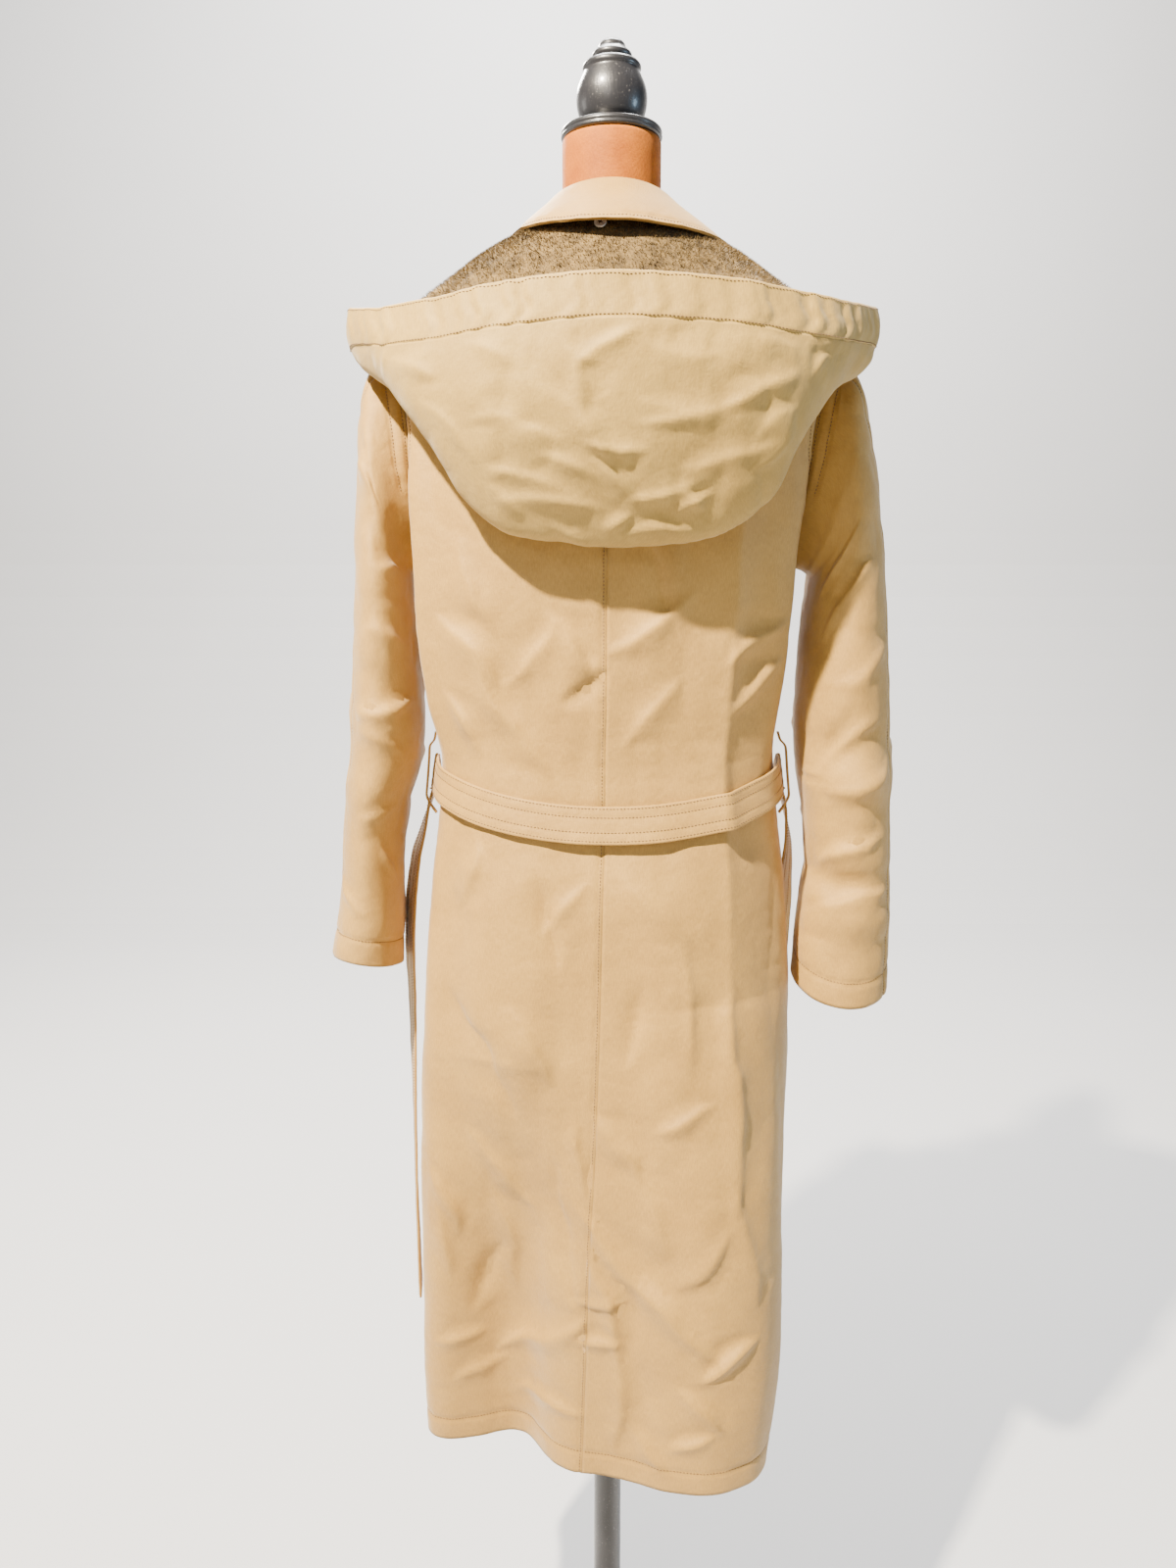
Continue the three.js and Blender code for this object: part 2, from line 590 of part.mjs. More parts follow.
const NECK_RADIUS = 46;
const NECK_TOP = 1622.5;
const neckCircle = (z) =>
  around().map((a) => new THREE.Vector3(NECK_RADIUS * Math.sin(a), NECK_RADIUS * Math.cos(a), z));
const NECK_FOOT = 0.16; // how far its foot stands in from the torso's upper edge
const torsoTop = torsoRing(TORSO_TOP);
const raised = (p, rise) => p.setZ(p.z + rise);
const topCentre = torsoTop
  .reduce((sum, p) => sum.add(p), new THREE.Vector3())
  .divideScalar(FORM_SIDES);
const neckFoot = torsoTop.map((p) => raised(p.clone().lerp(topCentre, NECK_FOOT), SEAM));
const neckRoot = (share, rise) =>
  neckFoot.map((p, i) => raised(p.clone().lerp(neckCircle(p.z)[i], share), rise));
add(
  'form_neck',
  ringSolid([neckFoot, neckRoot(0.6, 6), neckRoot(1, 16), neckCircle(1566), neckCircle(NECK_TOP)]),
  LINEN,
);

// Turned pieces, each a profile of radius and height from the axis out and back to it.
const TURNED_SIDES = 20;
function turned(name, profile, finish) {
  const points = profile.map(([radius, z]) => new THREE.Vector2(radius, z));
  const geometry = new THREE.LatheGeometry(points, TURNED_SIDES).rotateX(Math.PI / 2);
  add(name, geometry, finish);
}
const CAP_BOTTOM = NECK_TOP + SEAM;
const CAP_TOP = CAP_BOTTOM + 11;
turned('neck_cap', [
  [0, CAP_BOTTOM],
  [44, CAP_BOTTOM],
  [47, CAP_BOTTOM + 2],
  [47, CAP_BOTTOM + 4],
  [45.8, CAP_BOTTOM + 5],
  [47, CAP_BOTTOM + 6.5],
  [46, CAP_BOTTOM + 9.5],
  [42, CAP_TOP],
  [0, CAP_TOP],
], BLACK_WOOD);
const FINIAL = CAP_TOP + SEAM;
turned('finial', [
  [0, FINIAL],
  [23, FINIAL],
  [25.5, FINIAL + 3],
  [30, FINIAL + 9],
  [32.5, FINIAL + 18],
  [33, FINIAL + 27],
  [31.5, FINIAL + 35],
  [28, FINIAL + 43],
  [25.5, FINIAL + 48],
  [27, FINIAL + 50],
  [27, FINIAL + 53],
  [24, FINIAL + 56],
  [16.5, FINIAL + 57.5],
  [18.5, FINIAL + 60],
  [18.5, FINIAL + 63],
  [15, FINIAL + 66],
  [13, FINIAL + 68],
  [12, FINIAL + 71.5],
  [8, FINIAL + 75],
  [0, FINIAL + 76.5],
], BLACK_WOOD);
const FOOT_RADIUS = 170;
const FOOT_TOP = FLOOR + 36;
turned('foot', [
  [0, FLOOR],
  [FOOT_RADIUS - 4, FLOOR],
  [FOOT_RADIUS, FLOOR + 5],
  [FOOT_RADIUS, FLOOR + 11],
  [FOOT_RADIUS - 12, FLOOR + 18],
  [60, FLOOR + 25],
  [32, FOOT_TOP - 4],
  [24, FOOT_TOP],
  [0, FOOT_TOP],
], BLACK_WOOD);
const POLE_RADIUS = 15;
const POLE_TOP = TORSO_LEVELS[0] - SEAM;
turned('pole', [
  [0, FOOT_TOP + SEAM],
  [POLE_RADIUS + 4, FOOT_TOP + SEAM],
  [POLE_RADIUS + 4, FOOT_TOP + 8],
  [POLE_RADIUS, FOOT_TOP + 14],
  [POLE_RADIUS, POLE_TOP - 16],
  [POLE_RADIUS + 12, POLE_TOP - 8],
  [POLE_RADIUS + 12, POLE_TOP],
  [0, POLE_TOP],
], BLACK_WOOD);

// Belt: a band round the back from side seam to side seam, and its two free ends. Each end turns
// down just past the belt loop, fanning about its lower corner, and hangs.
const BELT_WIDTH = 35;
const BELT_WALL = 2.6;
const BELT_LOW = 997; // the band's middle at centre back
const BELT_SAG = 34; // and how much higher it is at the side seams
const BELT_LIFT = 2; // its clearance from the cloth beneath
const BELT_STAND = 3.5; // how much farther its lower edge stands off
const BELT_END = 92; // where the band ends, in degrees from centre back
function band(angle, across) {
  const share = Math.abs(angle) / (Math.PI / 2);
  const middle = BELT_LOW + BELT_SAG * Math.sin((Math.min(share, 1) * Math.PI) / 2) ** 2.2;
  const outward = normalOf(coat, angle, middle, ...PANEL_STEPS).setZ(0).normalize();
  const z = middle + BELT_WIDTH * (0.5 - across);
  const point = coat(angle, z, 1);
  const lowerEdge = coat(angle, middle - BELT_WIDTH / 2);
  const flare = Math.max(0, lowerEdge.dot(outward) - point.dot(outward));
  const off = BELT_LIFT + BELT_WALL + BELT_STAND * across + 0.2 * flare;
  return point.addScaledVector(outward, off);
}
const bandAngles = () => spaced(-BELT_END * RAD, BELT_END * RAD, 26);
const BAND_STEPS = [0.01, 0.1];
add('belt_back', wall(band, bandAngles, [0, 0.5, 1], -BELT_WALL, 0, BAND_STEPS), COTTON);

// x, y and z place an end's middle line, and yaw turns it, in degrees.
const TAILS = {
  left: rows(
    'drop x y yaw',
    [20, 184, -28, 0],
    [45, 191, -28, 10],
    [80, 201, -27, 20],
    [130, 208, -26, 24],
    [180, 210, -25, 22],
    [250, 209, -24, 18],
    [330, 209, -22, 13],
    [430, 209, -20, 9],
    [510, 208, -18, 7],
    [575, 207, -17, 5],
  ),
  right: rows(
    'drop x y yaw',
    [20, 180, -28, 0],
    [45, 185, -33, 8],
    [80, 189, -43, 22],
    [130, 189, -56, 36],
    [180, 187, -66, 44],
    [250, 184, -75, 48],
    [330, 182, -81, 50],
    [430, 180, -85, 48],
    [510, 179, -87, 46],
    [575, 178, -87, 45],
  ),
};
const TAIL_TURNS = 5; // rings in the fan
const TAIL_STEPS = [0.1, 0.02];
const FAN_ROOM = 3; // how far beyond the band's lower corner the fan turns
// A point of an end's middle plane: across it from its upper edge, and at a station along it,
// 0 to 1 in the fan and a row of its table for each whole number from there on.
function tailPoint(name) {
  const side = name === 'left' ? 1 : -1;
  const table = TAILS[name].map((row, i) => ({ ...row, station: i + 1 }));
  const at = columnsOf(table, 'station');
  const drops = table.map((row) => row.drop);
  const [upper, lower] = [0, 1].map((across) => band(side * BELT_END * RAD, across));
  const startY = Math.min(upper.y, lower.y) - SEAM;
  return (across, station) => {
    if (station <= 1) {
      const turn = (Math.max(station, 0) * Math.PI) / 2;
      const reach = (1 - across) * BELT_WIDTH + FAN_ROOM;
      return new THREE.Vector3(
        lerp(upper.x, lower.x, across),
        startY - reach * Math.sin(turn),
        lower.z - FAN_ROOM + reach * Math.cos(turn),
      );
    }
    const row = Math.min(Math.floor(station), drops.length - 1);
    const drop = lerp(drops[row - 1], drops[row], station - row);
    const yaw = at.yaw(station) * RAD;
    const offset = (across - 0.5) * BELT_WIDTH;
    return new THREE.Vector3(
      side * (at.x(station) - Math.sin(yaw) * offset),
      at.y(station) + Math.cos(yaw) * offset,
      lower.z + 5 - drop,
    );
  };
}
for (const side of ['left', 'right']) {
  const stations = [...spaced(0, 1, TAIL_TURNS), ...TAILS[side].slice(1).map((_, i) => i + 2)];
  const offsets = side === 'left' ? [0, BELT_WALL] : [-BELT_WALL, 0];
  const across = () => [0, 0.5, 1];
  add(`belt_tail_${side}`, wall(tailPoint(side), across, stations, ...offsets, TAIL_STEPS), COTTON);
}

// Belt loops: narrow strips sewn over the side seams, standing round the band.
const LOOP_WIDTH = 6;
const LOOP_WALL = 2;
const LOOP_PATH = rows(
  'z out',
  [1072, 0.4],
  [1064, 3.5],
  [1056, 9.5],
  [1032, 11.5],
  [1010, 12],
  [1000, 8],
  [990, 0.6],
);
const LOOP_STEPS = [0.1, 0.2];
const LOOP_BEHIND = 6; // how far behind the side seam they sit
function loopSolid(side) {
  const point = (across, station) => {
    const i = Math.min(Math.max(Math.floor(station), 0), LOOP_PATH.length - 2);
    const z = lerp(LOOP_PATH[i].z, LOOP_PATH[i + 1].z, station - i);
    const out = lerp(LOOP_PATH[i].out, LOOP_PATH[i + 1].out, station - i);
    const foot = coat((side * Math.PI) / 2, z);
    const y = foot.y + LOOP_WIDTH * (across - 0.5) + LOOP_BEHIND;
    return new THREE.Vector3(foot.x + side * (out + SEAM), y, z);
  };
  const offsets = side > 0 ? [0, LOOP_WALL] : [-LOOP_WALL, 0];
  return wall(point, () => [0, 1], LOOP_PATH.map((_, i) => i), ...offsets, LOOP_STEPS);
}
add('belt_loop_left', loopSolid(1), COTTON);
add('belt_loop_right', loopSolid(-1), COTTON);

// Buttons: discs with a raised rim.
function button(name, place, outward, radius, thick, finish) {
  const profile = [
    [0, 0],
    [radius, 0],
    [radius, thick],
    [radius * 0.74, thick],
    [0, thick * 0.7],
  ].map(([r, h]) => new THREE.Vector2(r, h));
  const mesh = add(name, new THREE.LatheGeometry(profile, 12), finish);
  mesh.quaternion.setFromUnitVectors(new THREE.Vector3(0, 1, 0), outward);
  mesh.position.copy(place).addScaledVector(outward, 2 * SEAM);
}
const FRONT_BUTTONS = [1425, 1306, 1187, 1085, 930, 794]; // their heights
FRONT_BUTTONS.forEach((z, i) => {
  const outward = normalOf(coat, Math.PI, z, ...PANEL_STEPS);
  button(`front_button_${i + 1}`, coat(Math.PI, z), outward, 11, 3, BUTTON);
});
for (const [name, degrees] of Object.entries(HOOD_BUTTONS)) {
  const outward = normalOf(hoodBody, degrees, BUTTON_LINE, ...HOOD_STEPS).negate();
  const place = hoodBody(degrees, BUTTON_LINE).addScaledVector(outward, -pileFace(degrees));
  button(`hood_button_${name}`, place, outward, 5.5, 2, WHITE_BUTTON);
}

// The origin is the middle of the part's box, on the floor.
const box = new THREE.Box3().setFromObject(group, true);
group.position.set(-(box.min.x + box.max.x) / 2, -(box.min.y + box.max.y) / 2, -FLOOR);

export default group;
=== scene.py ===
"""A long belted raincoat with its hood down, on a dress form, dressed over its CAD frame.

The shapes are worked out in millimetres about the form's axis, with the coat's hem at 330, and
turned into the row frame's metres when a mesh is made.
"""

import itertools
import math

import bmesh
import bpy
import numpy as np
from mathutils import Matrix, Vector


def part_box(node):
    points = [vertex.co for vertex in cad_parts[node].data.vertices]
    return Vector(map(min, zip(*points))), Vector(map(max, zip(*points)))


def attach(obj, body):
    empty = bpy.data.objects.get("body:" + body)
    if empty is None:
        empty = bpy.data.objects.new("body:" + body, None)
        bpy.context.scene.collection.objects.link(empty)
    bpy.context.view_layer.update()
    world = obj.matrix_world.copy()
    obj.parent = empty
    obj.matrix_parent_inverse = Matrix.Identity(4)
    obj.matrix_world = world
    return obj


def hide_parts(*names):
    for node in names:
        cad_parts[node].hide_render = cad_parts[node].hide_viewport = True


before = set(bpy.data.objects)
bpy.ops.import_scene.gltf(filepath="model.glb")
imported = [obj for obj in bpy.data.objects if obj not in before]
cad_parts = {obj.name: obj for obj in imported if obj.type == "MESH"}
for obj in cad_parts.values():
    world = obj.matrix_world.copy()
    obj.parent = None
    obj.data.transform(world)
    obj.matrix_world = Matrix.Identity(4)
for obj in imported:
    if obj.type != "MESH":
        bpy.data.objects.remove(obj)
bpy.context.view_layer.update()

WALL = 1.6
SEAM = 0.35
FLOOR = -80
HEM = 330
SHOULDER = 1442
UNDERARM = 1235
NECK_EDGE = 1525
RAD = math.pi / 180
FOOT_LOW, FOOT_HIGH = (np.array(corner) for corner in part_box("foot"))
AXIS = np.array([*((FOOT_LOW + FOOT_HIGH) / 2)[:2], FOOT_LOW[2] - FLOOR / 1000])


def table(names, *rows):
    """A table's columns by name."""
    return dict(zip(names.split(), np.array(rows, float).T))


def curve(x, y):
    """Smooth interpolation with no overshoot between the given points."""
    slope = np.diff(y) / np.diff(x)
    before, after = slope[:-1], slope[1:]
    total = np.where(before + after == 0, 1, before + after)
    inner = np.where(before * after > 0, 2 * before * after / total, 0)
    tangent = np.concatenate([slope[:1], inner, slope[-1:]])

    def value(at):
        at = np.asarray(at, float)
        i = np.clip(np.searchsorted(x, at, side="right") - 1, 0, len(x) - 2)
        width = x[i + 1] - x[i]
        s = np.clip((at - x[i]) / width, 0, 1)
        return (
            y[i] * (2 * s**3 - 3 * s**2 + 1)
            + tangent[i] * width * (s**3 - 2 * s**2 + s)
            + y[i + 1] * (3 * s**2 - 2 * s**3)
            + tangent[i + 1] * width * (s**3 - s**2)
        )

    return value


def curves(columns, key):
    return {name: curve(columns[key], column) for name, column in columns.items() if name != key}


def smooth(x, start, end):
    s = np.clip((x - start) / (end - start), 0, 1)
    return s * s * (3 - 2 * s)


def lerp(a, b, share):
    return a + (b - a) * share


def unit(v):
    return v / np.maximum(np.linalg.norm(v, axis=-1, keepdims=True), 1e-9)


def xyz(x, y, z):
    return np.stack(np.broadcast_arrays(x, y, z), axis=-1).astype(float)


def lattice(cell, seed):
    """A fixed random number from -1 to 1 for each cell of a grid."""
    x, y, z = (cell[..., i] for i in range(3))
    mixed = (x * 73856093) ^ (y * 19349663) ^ (z * 83492791) ^ (seed * 2654435761)
    mixed = (mixed ^ (mixed >> 13)) * 1274126177
    return ((mixed ^ (mixed >> 16)) & 0xFFFF) / 32767.5 - 1


def noise(points, grain, seed):
    """Smooth unevenness from -1 to 1, of that grain in millimetres."""
    place = np.asarray(points, float) / grain
    cell = np.floor(place).astype(np.int64)
    part = place - cell
    blend = part**3 * (part * (part * 6 - 15) + 10)
    total = np.zeros(part.shape[:-1])
    for corner in itertools.product((0, 1), repeat=3):
        weight = np.prod(np.where(np.array(corner) == 1, blend, 1 - blend), axis=-1)
        total += weight * lattice(cell + np.array(corner), seed)
    return total


SECTION = curves(
    table(
        "z halfWidth back front shift seam corner rise drop",
        [330, 176, 124, 118, 14, 28, 0.05, 0, 0],
        [450, 184, 122, 118, 9, 24, 0.05, 0, 0],
        [560, 187, 121, 118, 7, 20, 0.05, 0, 0],
        [700, 188, 120, 118, 4, 14, 0.05, 0, 0],
        [830, 185, 117, 116, 1, 10, 0.05, 0, 0],
        [930, 179, 111, 110, 1, 8, 0.05, 0, 0],
        [1000, 171, 101, 103, 2, 6, 0.06, 0, 0],
        [1045, 168, 98, 100, 2, 6, 0.06, 0, 0],
        [1110, 175, 103, 106, 5, 5, 0.07, 0, 0],
        [1180, 179, 110, 114, 5, 5, 0.08, 0, 0],
        [1235, 180, 114, 118, 5, 5, 0.08, 0, 0],
        [1300, 189, 115, 119, 3, 4, 0.06, 0, 0],
        [1350, 197, 113, 117, 1, 3, 0.03, 0, 0],
        [1400, 204, 108, 110, 0, 2, 0.02, 0, 4],
        [1442, 205, 100, 100, 0, 1, 0.01, 0, 12],
        [1465, 166, 91, 91, 0, 0, 0, 2, 24],
        [1490, 124, 79, 82, 0, 0, 0, 4, 38],
        [1510, 91, 68, 75, 0, 0, 0, 6, 48],
        [1525, 66, 58, 70, 0, 0, 0, 8, 55],
    ),
    "z",
)
FOLDS = (
    # top, bottom, angle at the top, angle at the bottom, depth, reach, power
    (1420, 1030, 60, 63, 15, 9, 1.6),
    (1400, 1040, 76, 78, -8, 8, 2),
    (1420, 1020, -60, -62, 11, 9, 1.6),
    (1400, 1040, -76, -78, -8, 8, 2),
    (1330, 740, -38, -36, 7, 5, 1.4),
    (1230, 1040, 22, 30, -4, 10, 2),
    (1010, 500, 40, 30, 6, 9, 1.6),
    (990, 640, -14, -18, 5, 8, 2),
    (990, 700, 66, 60, 7, 9, 1.8),
    (820, -200, -34, -43, 52, 25, 2.2),
    (760, -150, 34, 33, -50, 17, 2.4),
    (900, -100, 60, 66, 16, 14, 2),
    (1390, 1040, 122, 118, 12, 10, 1.8),
    (1390, 1040, -122, -118, 12, 10, 1.8),
    (1200, 1040, 145, 150, -5, 9, 2),
    (1200, 1040, -145, -150, -5, 9, 2),
    (980, -150, 118, 124, 22, 15, 2),
    (980, -150, -118, -122, 12, 15, 2),
    (900, -150, 148, 146, -18, 13, 2),
    (900, -150, -146, -148, -16, 13, 2),
)


def fold_depth(degrees, z):
    total = np.zeros(np.broadcast(degrees, z).shape)
    for top, bottom, angle_top, angle_bottom, depth, reach, power in FOLDS:
        along = np.clip((z - bottom) / (top - bottom), 0, 1)
        away = np.abs(degrees - lerp(angle_bottom, angle_top, along)) / reach
        total += depth * np.abs(np.sin(math.pi * along)) ** 0.8 * np.exp(-(away**power))
    return total


def coat(angle, z, folded=1):
    """The coat's outer surface, at an angle round it (0 at centre back) and a height."""
    wide = SECTION["halfWidth"](z)
    behind = np.cos(angle) > 0
    deep = np.where(behind, SECTION["back"](z), SECTION["front"](z))
    swell = 1 + SECTION["corner"](z) * np.sin(2 * angle) ** 2
    x = wide * np.sin(angle) * swell
    y = deep * np.cos(angle) * swell
    outward = unit(np.stack([x / wide**2, y / deep**2], axis=-1))
    fold = folded * fold_depth(angle / RAD, z)
    level = np.where(behind, SECTION["rise"](z), -SECTION["drop"](z))
    return xyz(
        x + outward[..., 0] * fold + SECTION["shift"](z),
        y + outward[..., 1] * fold,
        z + level * np.cos(angle) ** 2,
    )


def normal_of(surface, u, v, step_u, step_v):
    along_u = surface(u + step_u, v) - surface(u - step_u, v)
    along_v = surface(u, v + step_v) - surface(u, v - step_v)
    return unit(np.cross(along_v, along_u))


def rumple(points, grain, seed):
    """Crumpled cloth: round swellings with sharp valleys between them, from -1 to 1."""
    return 1.6 * np.abs(noise(points, grain, seed)) - 0.5


def creases(rows, across, up):
    """Ridges (depth over 0) and troughs of cloth: bent lines, steep on one side, with pointed ends."""
    total = np.zeros(np.broadcast(across, up).shape)
    place = xyz(across, up, 0)
    across = across + 4 * noise(place, 31, 71)
    up = up + 4 * noise(place, 31, 72)
    for x0, z0, x1, z1, bend, width, depth in rows:
        length = math.hypot(x1 - x0, z1 - z0)
        along_x, along_z = (x1 - x0) / length, (z1 - z0) / length
        share = 0.13 + 0.74 * ((across - x0) * along_x + (up - z0) * along_z) / length
        inside = np.clip(share, 0, 1)
        aside = (across - x0) * along_z - (up - z0) * along_x - bend * 4 * inside * (1 - inside)
        swell = np.sin(math.pi * inside)
        near = aside / (width * (0.2 + 0.8 * swell))
        steep = np.where(near > 0, np.exp(-np.abs(near) * 2.6), np.exp(-((near / 1.15) ** 2)))
        total += depth * swell**1.1 * (steep - 0.3 * np.exp(-(((near - 1.5) / 1.2) ** 2)))
    return total


class Cloth:
    """A grid of points on a piece of cloth: its outer face, and each point's way from its edges."""

    def __init__(self, points, outward):
        self.points = points
        self.outward = outward
        self.measure()

    def measure(self):
        across = np.linalg.norm(np.diff(self.points, axis=1), axis=-1)
        along = np.linalg.norm(np.diff(self.points, axis=0), axis=-1)
        rows, columns = self.points.shape[:2]
        first = np.concatenate([np.zeros((rows, 1)), np.cumsum(across, axis=1)], axis=1)
        bottom = np.concatenate([np.zeros((1, columns)), np.cumsum(along, axis=0)], axis=0)
        self.away = {
            "first": first,
            "last": first[:, -1:] - first,
            "bottom": bottom,
            "top": bottom[-1:, :] - bottom,
        }
        normals = np.cross(np.gradient(self.points, axis=0), np.gradient(self.points, axis=1))
        self.normals = unit(normals) * self.outward

    def lift(self, height):
        self.points = self.points + self.normals * height[..., None]
        self.measure()

    def stitched(self, lines, seed):
        """Sinks the cloth along its stitch lines, and puckers it beside them."""
        height = np.zeros(self.points.shape[:2])
        for edge, distance, low, high in lines:
            gap = np.abs(self.away[edge] - distance)
            level = self.points[..., 2]
            within = smooth(level, low - 6, low + 6) * (1 - smooth(level, high - 6, high + 6))
            pucker = 0.55 * noise(self.points, 7.5, seed) + 0.35 * noise(self.points, 15, seed + 1)
            dip = -1.3 * np.exp(-((gap / 2.4) ** 2))
            height += within * (dip + pucker * np.exp(-gap / 7))
        self.lift(height)

    def at(self, rows, columns):
        """Points and normals at fractions of the grid."""
        r0 = np.clip(np.floor(rows).astype(int), 0, self.points.shape[0] - 2)
        c0 = np.clip(np.floor(columns).astype(int), 0, self.points.shape[1] - 2)
        fr, fc = (rows - r0)[:, None], (columns - c0)[:, None]
        result = []
        for values in (self.points, self.normals):
            low = lerp(values[r0, c0], values[r0, c0 + 1], fc)
            high = lerp(values[r0 + 1, c0], values[r0 + 1, c0 + 1], fc)
            result.append(lerp(low, high, fr))
        return result

    def line(self, edge, distance, low=-1e9, high=1e9):
        """The path that lies at that distance from an edge, between two levels."""
        away = self.away[edge]
        rows, columns = away.shape
        if edge in ("first", "last"):
            i = np.arange(rows, dtype=float)
            order = slice(None) if edge == "first" else slice(None, None, -1)
            number = np.arange(columns)[order]
            j = np.array([np.interp(distance, row[order], number) for row in away])
        else:
            j = np.arange(columns, dtype=float)
            order = slice(None) if edge == "bottom" else slice(None, None, -1)
            number = np.arange(rows)[order]
            i = np.array([np.interp(distance, column[order], number) for column in away.T])
        points, normals = self.at(i, j)
        keep = (points[:, 2] >= low) & (points[:, 2] <= high)
        return points[keep], normals[keep]

    def sewn(self, lines, seed):
        """Stitches the cloth along the lines, and returns their paths."""
        self.stitched(lines, seed)
        return [self.line(*line) for line in lines]


def facing(points, way):
    """A cloth whose outer face looks that way on the whole."""
    cloth = Cloth(points, 1)
    return cloth if np.mean(np.sum(cloth.normals * way, axis=-1)) > 0 else Cloth(points, -1)


def to_row(points):
    return np.asarray(points, float) / 1000 + AXIS


def make(name, points, faces, material, node=None, flat_faces=0, uv=None, wear=None):
    """A smooth mesh object that rides on the root body; its last flat_faces faces stay flat."""
    mesh = bpy.data.meshes.new(name)
    mesh.from_pydata(to_row(points).tolist(), [], faces)
    if uv is not None:
        layer = mesh.uv_layers.new(name="cloth")
        corner = np.empty(len(mesh.loops), dtype=np.int32)
        mesh.loops.foreach_get("vertex_index", corner)
        layer.data.foreach_set("uv", np.asarray(uv, np.float32)[corner].ravel() / 1000)
    if wear is not None:
        attribute = mesh.attributes.new("wear", "FLOAT", "POINT")
        attribute.data.foreach_set("value", np.asarray(wear, np.float32))
    smoothness = np.ones(len(mesh.polygons), dtype=bool)
    if flat_faces:
        smoothness[-flat_faces:] = False
    mesh.polygons.foreach_set("use_smooth", smoothness)
    shape = bmesh.new()
    shape.from_mesh(mesh)
    bmesh.ops.recalc_face_normals(shape, faces=shape.faces)
    shape.to_mesh(mesh)
    shape.free()
    for finish in material if isinstance(material, (list, tuple)) else (material,):
        mesh.materials.append(finish)
    piece = bpy.data.objects.new(name, mesh)
    bpy.context.scene.collection.objects.link(piece)
    if node:
        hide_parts(*([node] if isinstance(node, str) else node))
    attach(piece, "root")
    return piece


def grid_faces(rows, columns, start=0):
    i, j = np.meshgrid(np.arange(rows - 1), np.arange(columns - 1), indexing="ij")
    a = start + (i * columns + j).ravel()
    return np.stack([a, a + 1, a + columns + 1, a + columns], axis=1).tolist()


def every(count, step):
    picked = list(range(0, count - 1, step))
    if count - 1 - picked[-1] < step / 2 and len(picked) > 1:
        picked.pop()
    return picked + [count - 1]


def shell(name, cloth, material, node, thickness=WALL, step=4):
    """A thin closed shell: the cloth's fine outer face, a coarser inner one and the edge between."""
    rows, columns = cloth.points.shape[:2]
    down, over = every(rows, step), every(columns, step)
    inner = (cloth.points - cloth.normals * thickness)[np.ix_(down, over)]
    faces = grid_faces(rows, columns) + grid_faces(len(down), len(over), rows * columns)

    def back(a, b):
        return rows * columns + a * len(over) + b

    rim = []
    for row, fine in ((0, 0), (len(down) - 1, rows - 1)):
        for k, (start, end) in enumerate(zip(over, over[1:])):
            edge = [fine * columns + j for j in range(start, end + 1)]
            rim.append(edge + [back(row, k + 1), back(row, k)])
    for column, fine in ((0, 0), (len(over) - 1, columns - 1)):
        for k, (start, end) in enumerate(zip(down, down[1:])):
            edge = [i * columns + fine for i in range(start, end + 1)]
            rim.append(edge + [back(k + 1, column), back(k, column)])
    flat = np.stack([cloth.away["first"], cloth.away["bottom"]], axis=-1)
    uv = np.concatenate([flat.reshape(-1, 2), flat[np.ix_(down, over)].reshape(-1, 2)])
    near = np.minimum.reduce(list(cloth.away.values()))
    worn = np.exp(-near / 3.5)
    wear = np.concatenate([worn.ravel(), np.zeros(len(down) * len(over))])
    points = np.concatenate([cloth.points.reshape(-1, 3), inner.reshape(-1, 3)])
    return make(name, points, faces + rim, material, node, len(rim), uv, wear)


PITCH = 3.3
STITCH_LENGTH = 2.35
STITCH_BENDS = (0.22, 0.78)
THREAD = 0.45


def stitch_mesh(points, normals):
    """Points and faces of a row of stitches along a path."""
    gaps = np.linalg.norm(np.diff(points, axis=0), axis=1)
    way = np.concatenate([[0], np.cumsum(gaps)])
    starts = np.arange(PITCH / 2, way[-1] - PITCH, PITCH)
    if len(starts) == 0:
        return np.zeros((0, 3)), []

    def at(values, s):
        return np.stack([np.interp(s, way, values[:, i]) for i in range(3)], axis=1)

    first, last = at(points, starts), at(points, starts + STITCH_LENGTH)
    normal = unit(at(normals, starts + STITCH_LENGTH / 2))
    side = unit(np.cross(unit(last - first), normal))
    middle = at(points, starts + STITCH_LENGTH / 2)
    bow = (middle - (first + last) / 2) * 0.8
    vertices = [first - normal * 0.1]
    for share in STITCH_BENDS:
        centre = lerp(first, last, share) + bow + normal * THREAD * 0.45
        for across, up in ((1, 0), (0, 1), (-1, 0), (0, -1)):
            vertices.append(centre + side * THREAD * across + normal * THREAD * up)
    vertices.append(last - normal * 0.1)
    block = np.stack(vertices, axis=1)
    pattern = [[0, 1, 2], [0, 2, 3], [0, 3, 4], [0, 4, 1]]
    pattern += [[1 + k, 5 + k, 5 + (k + 1) % 4, 1 + (k + 1) % 4] for k in range(4)]
    pattern += [[9, 6, 5], [9, 7, 6], [9, 8, 7], [9, 5, 8]]
    faces = []
    for i in range(len(starts)):
        faces += [[10 * i + v for v in face] for face in pattern]
    return block.reshape(-1, 3), faces


def sew(name, paths, material):
    """One object for several rows of stitches."""
    points, faces, count = [], [], 0
    for path in paths:
        vertices, polygons = stitch_mesh(*path)
        points.append(vertices)
        faces += [[v + count for v in polygon] for polygon in polygons]
        count += len(vertices)
    return make(name, np.concatenate(points), faces, material)


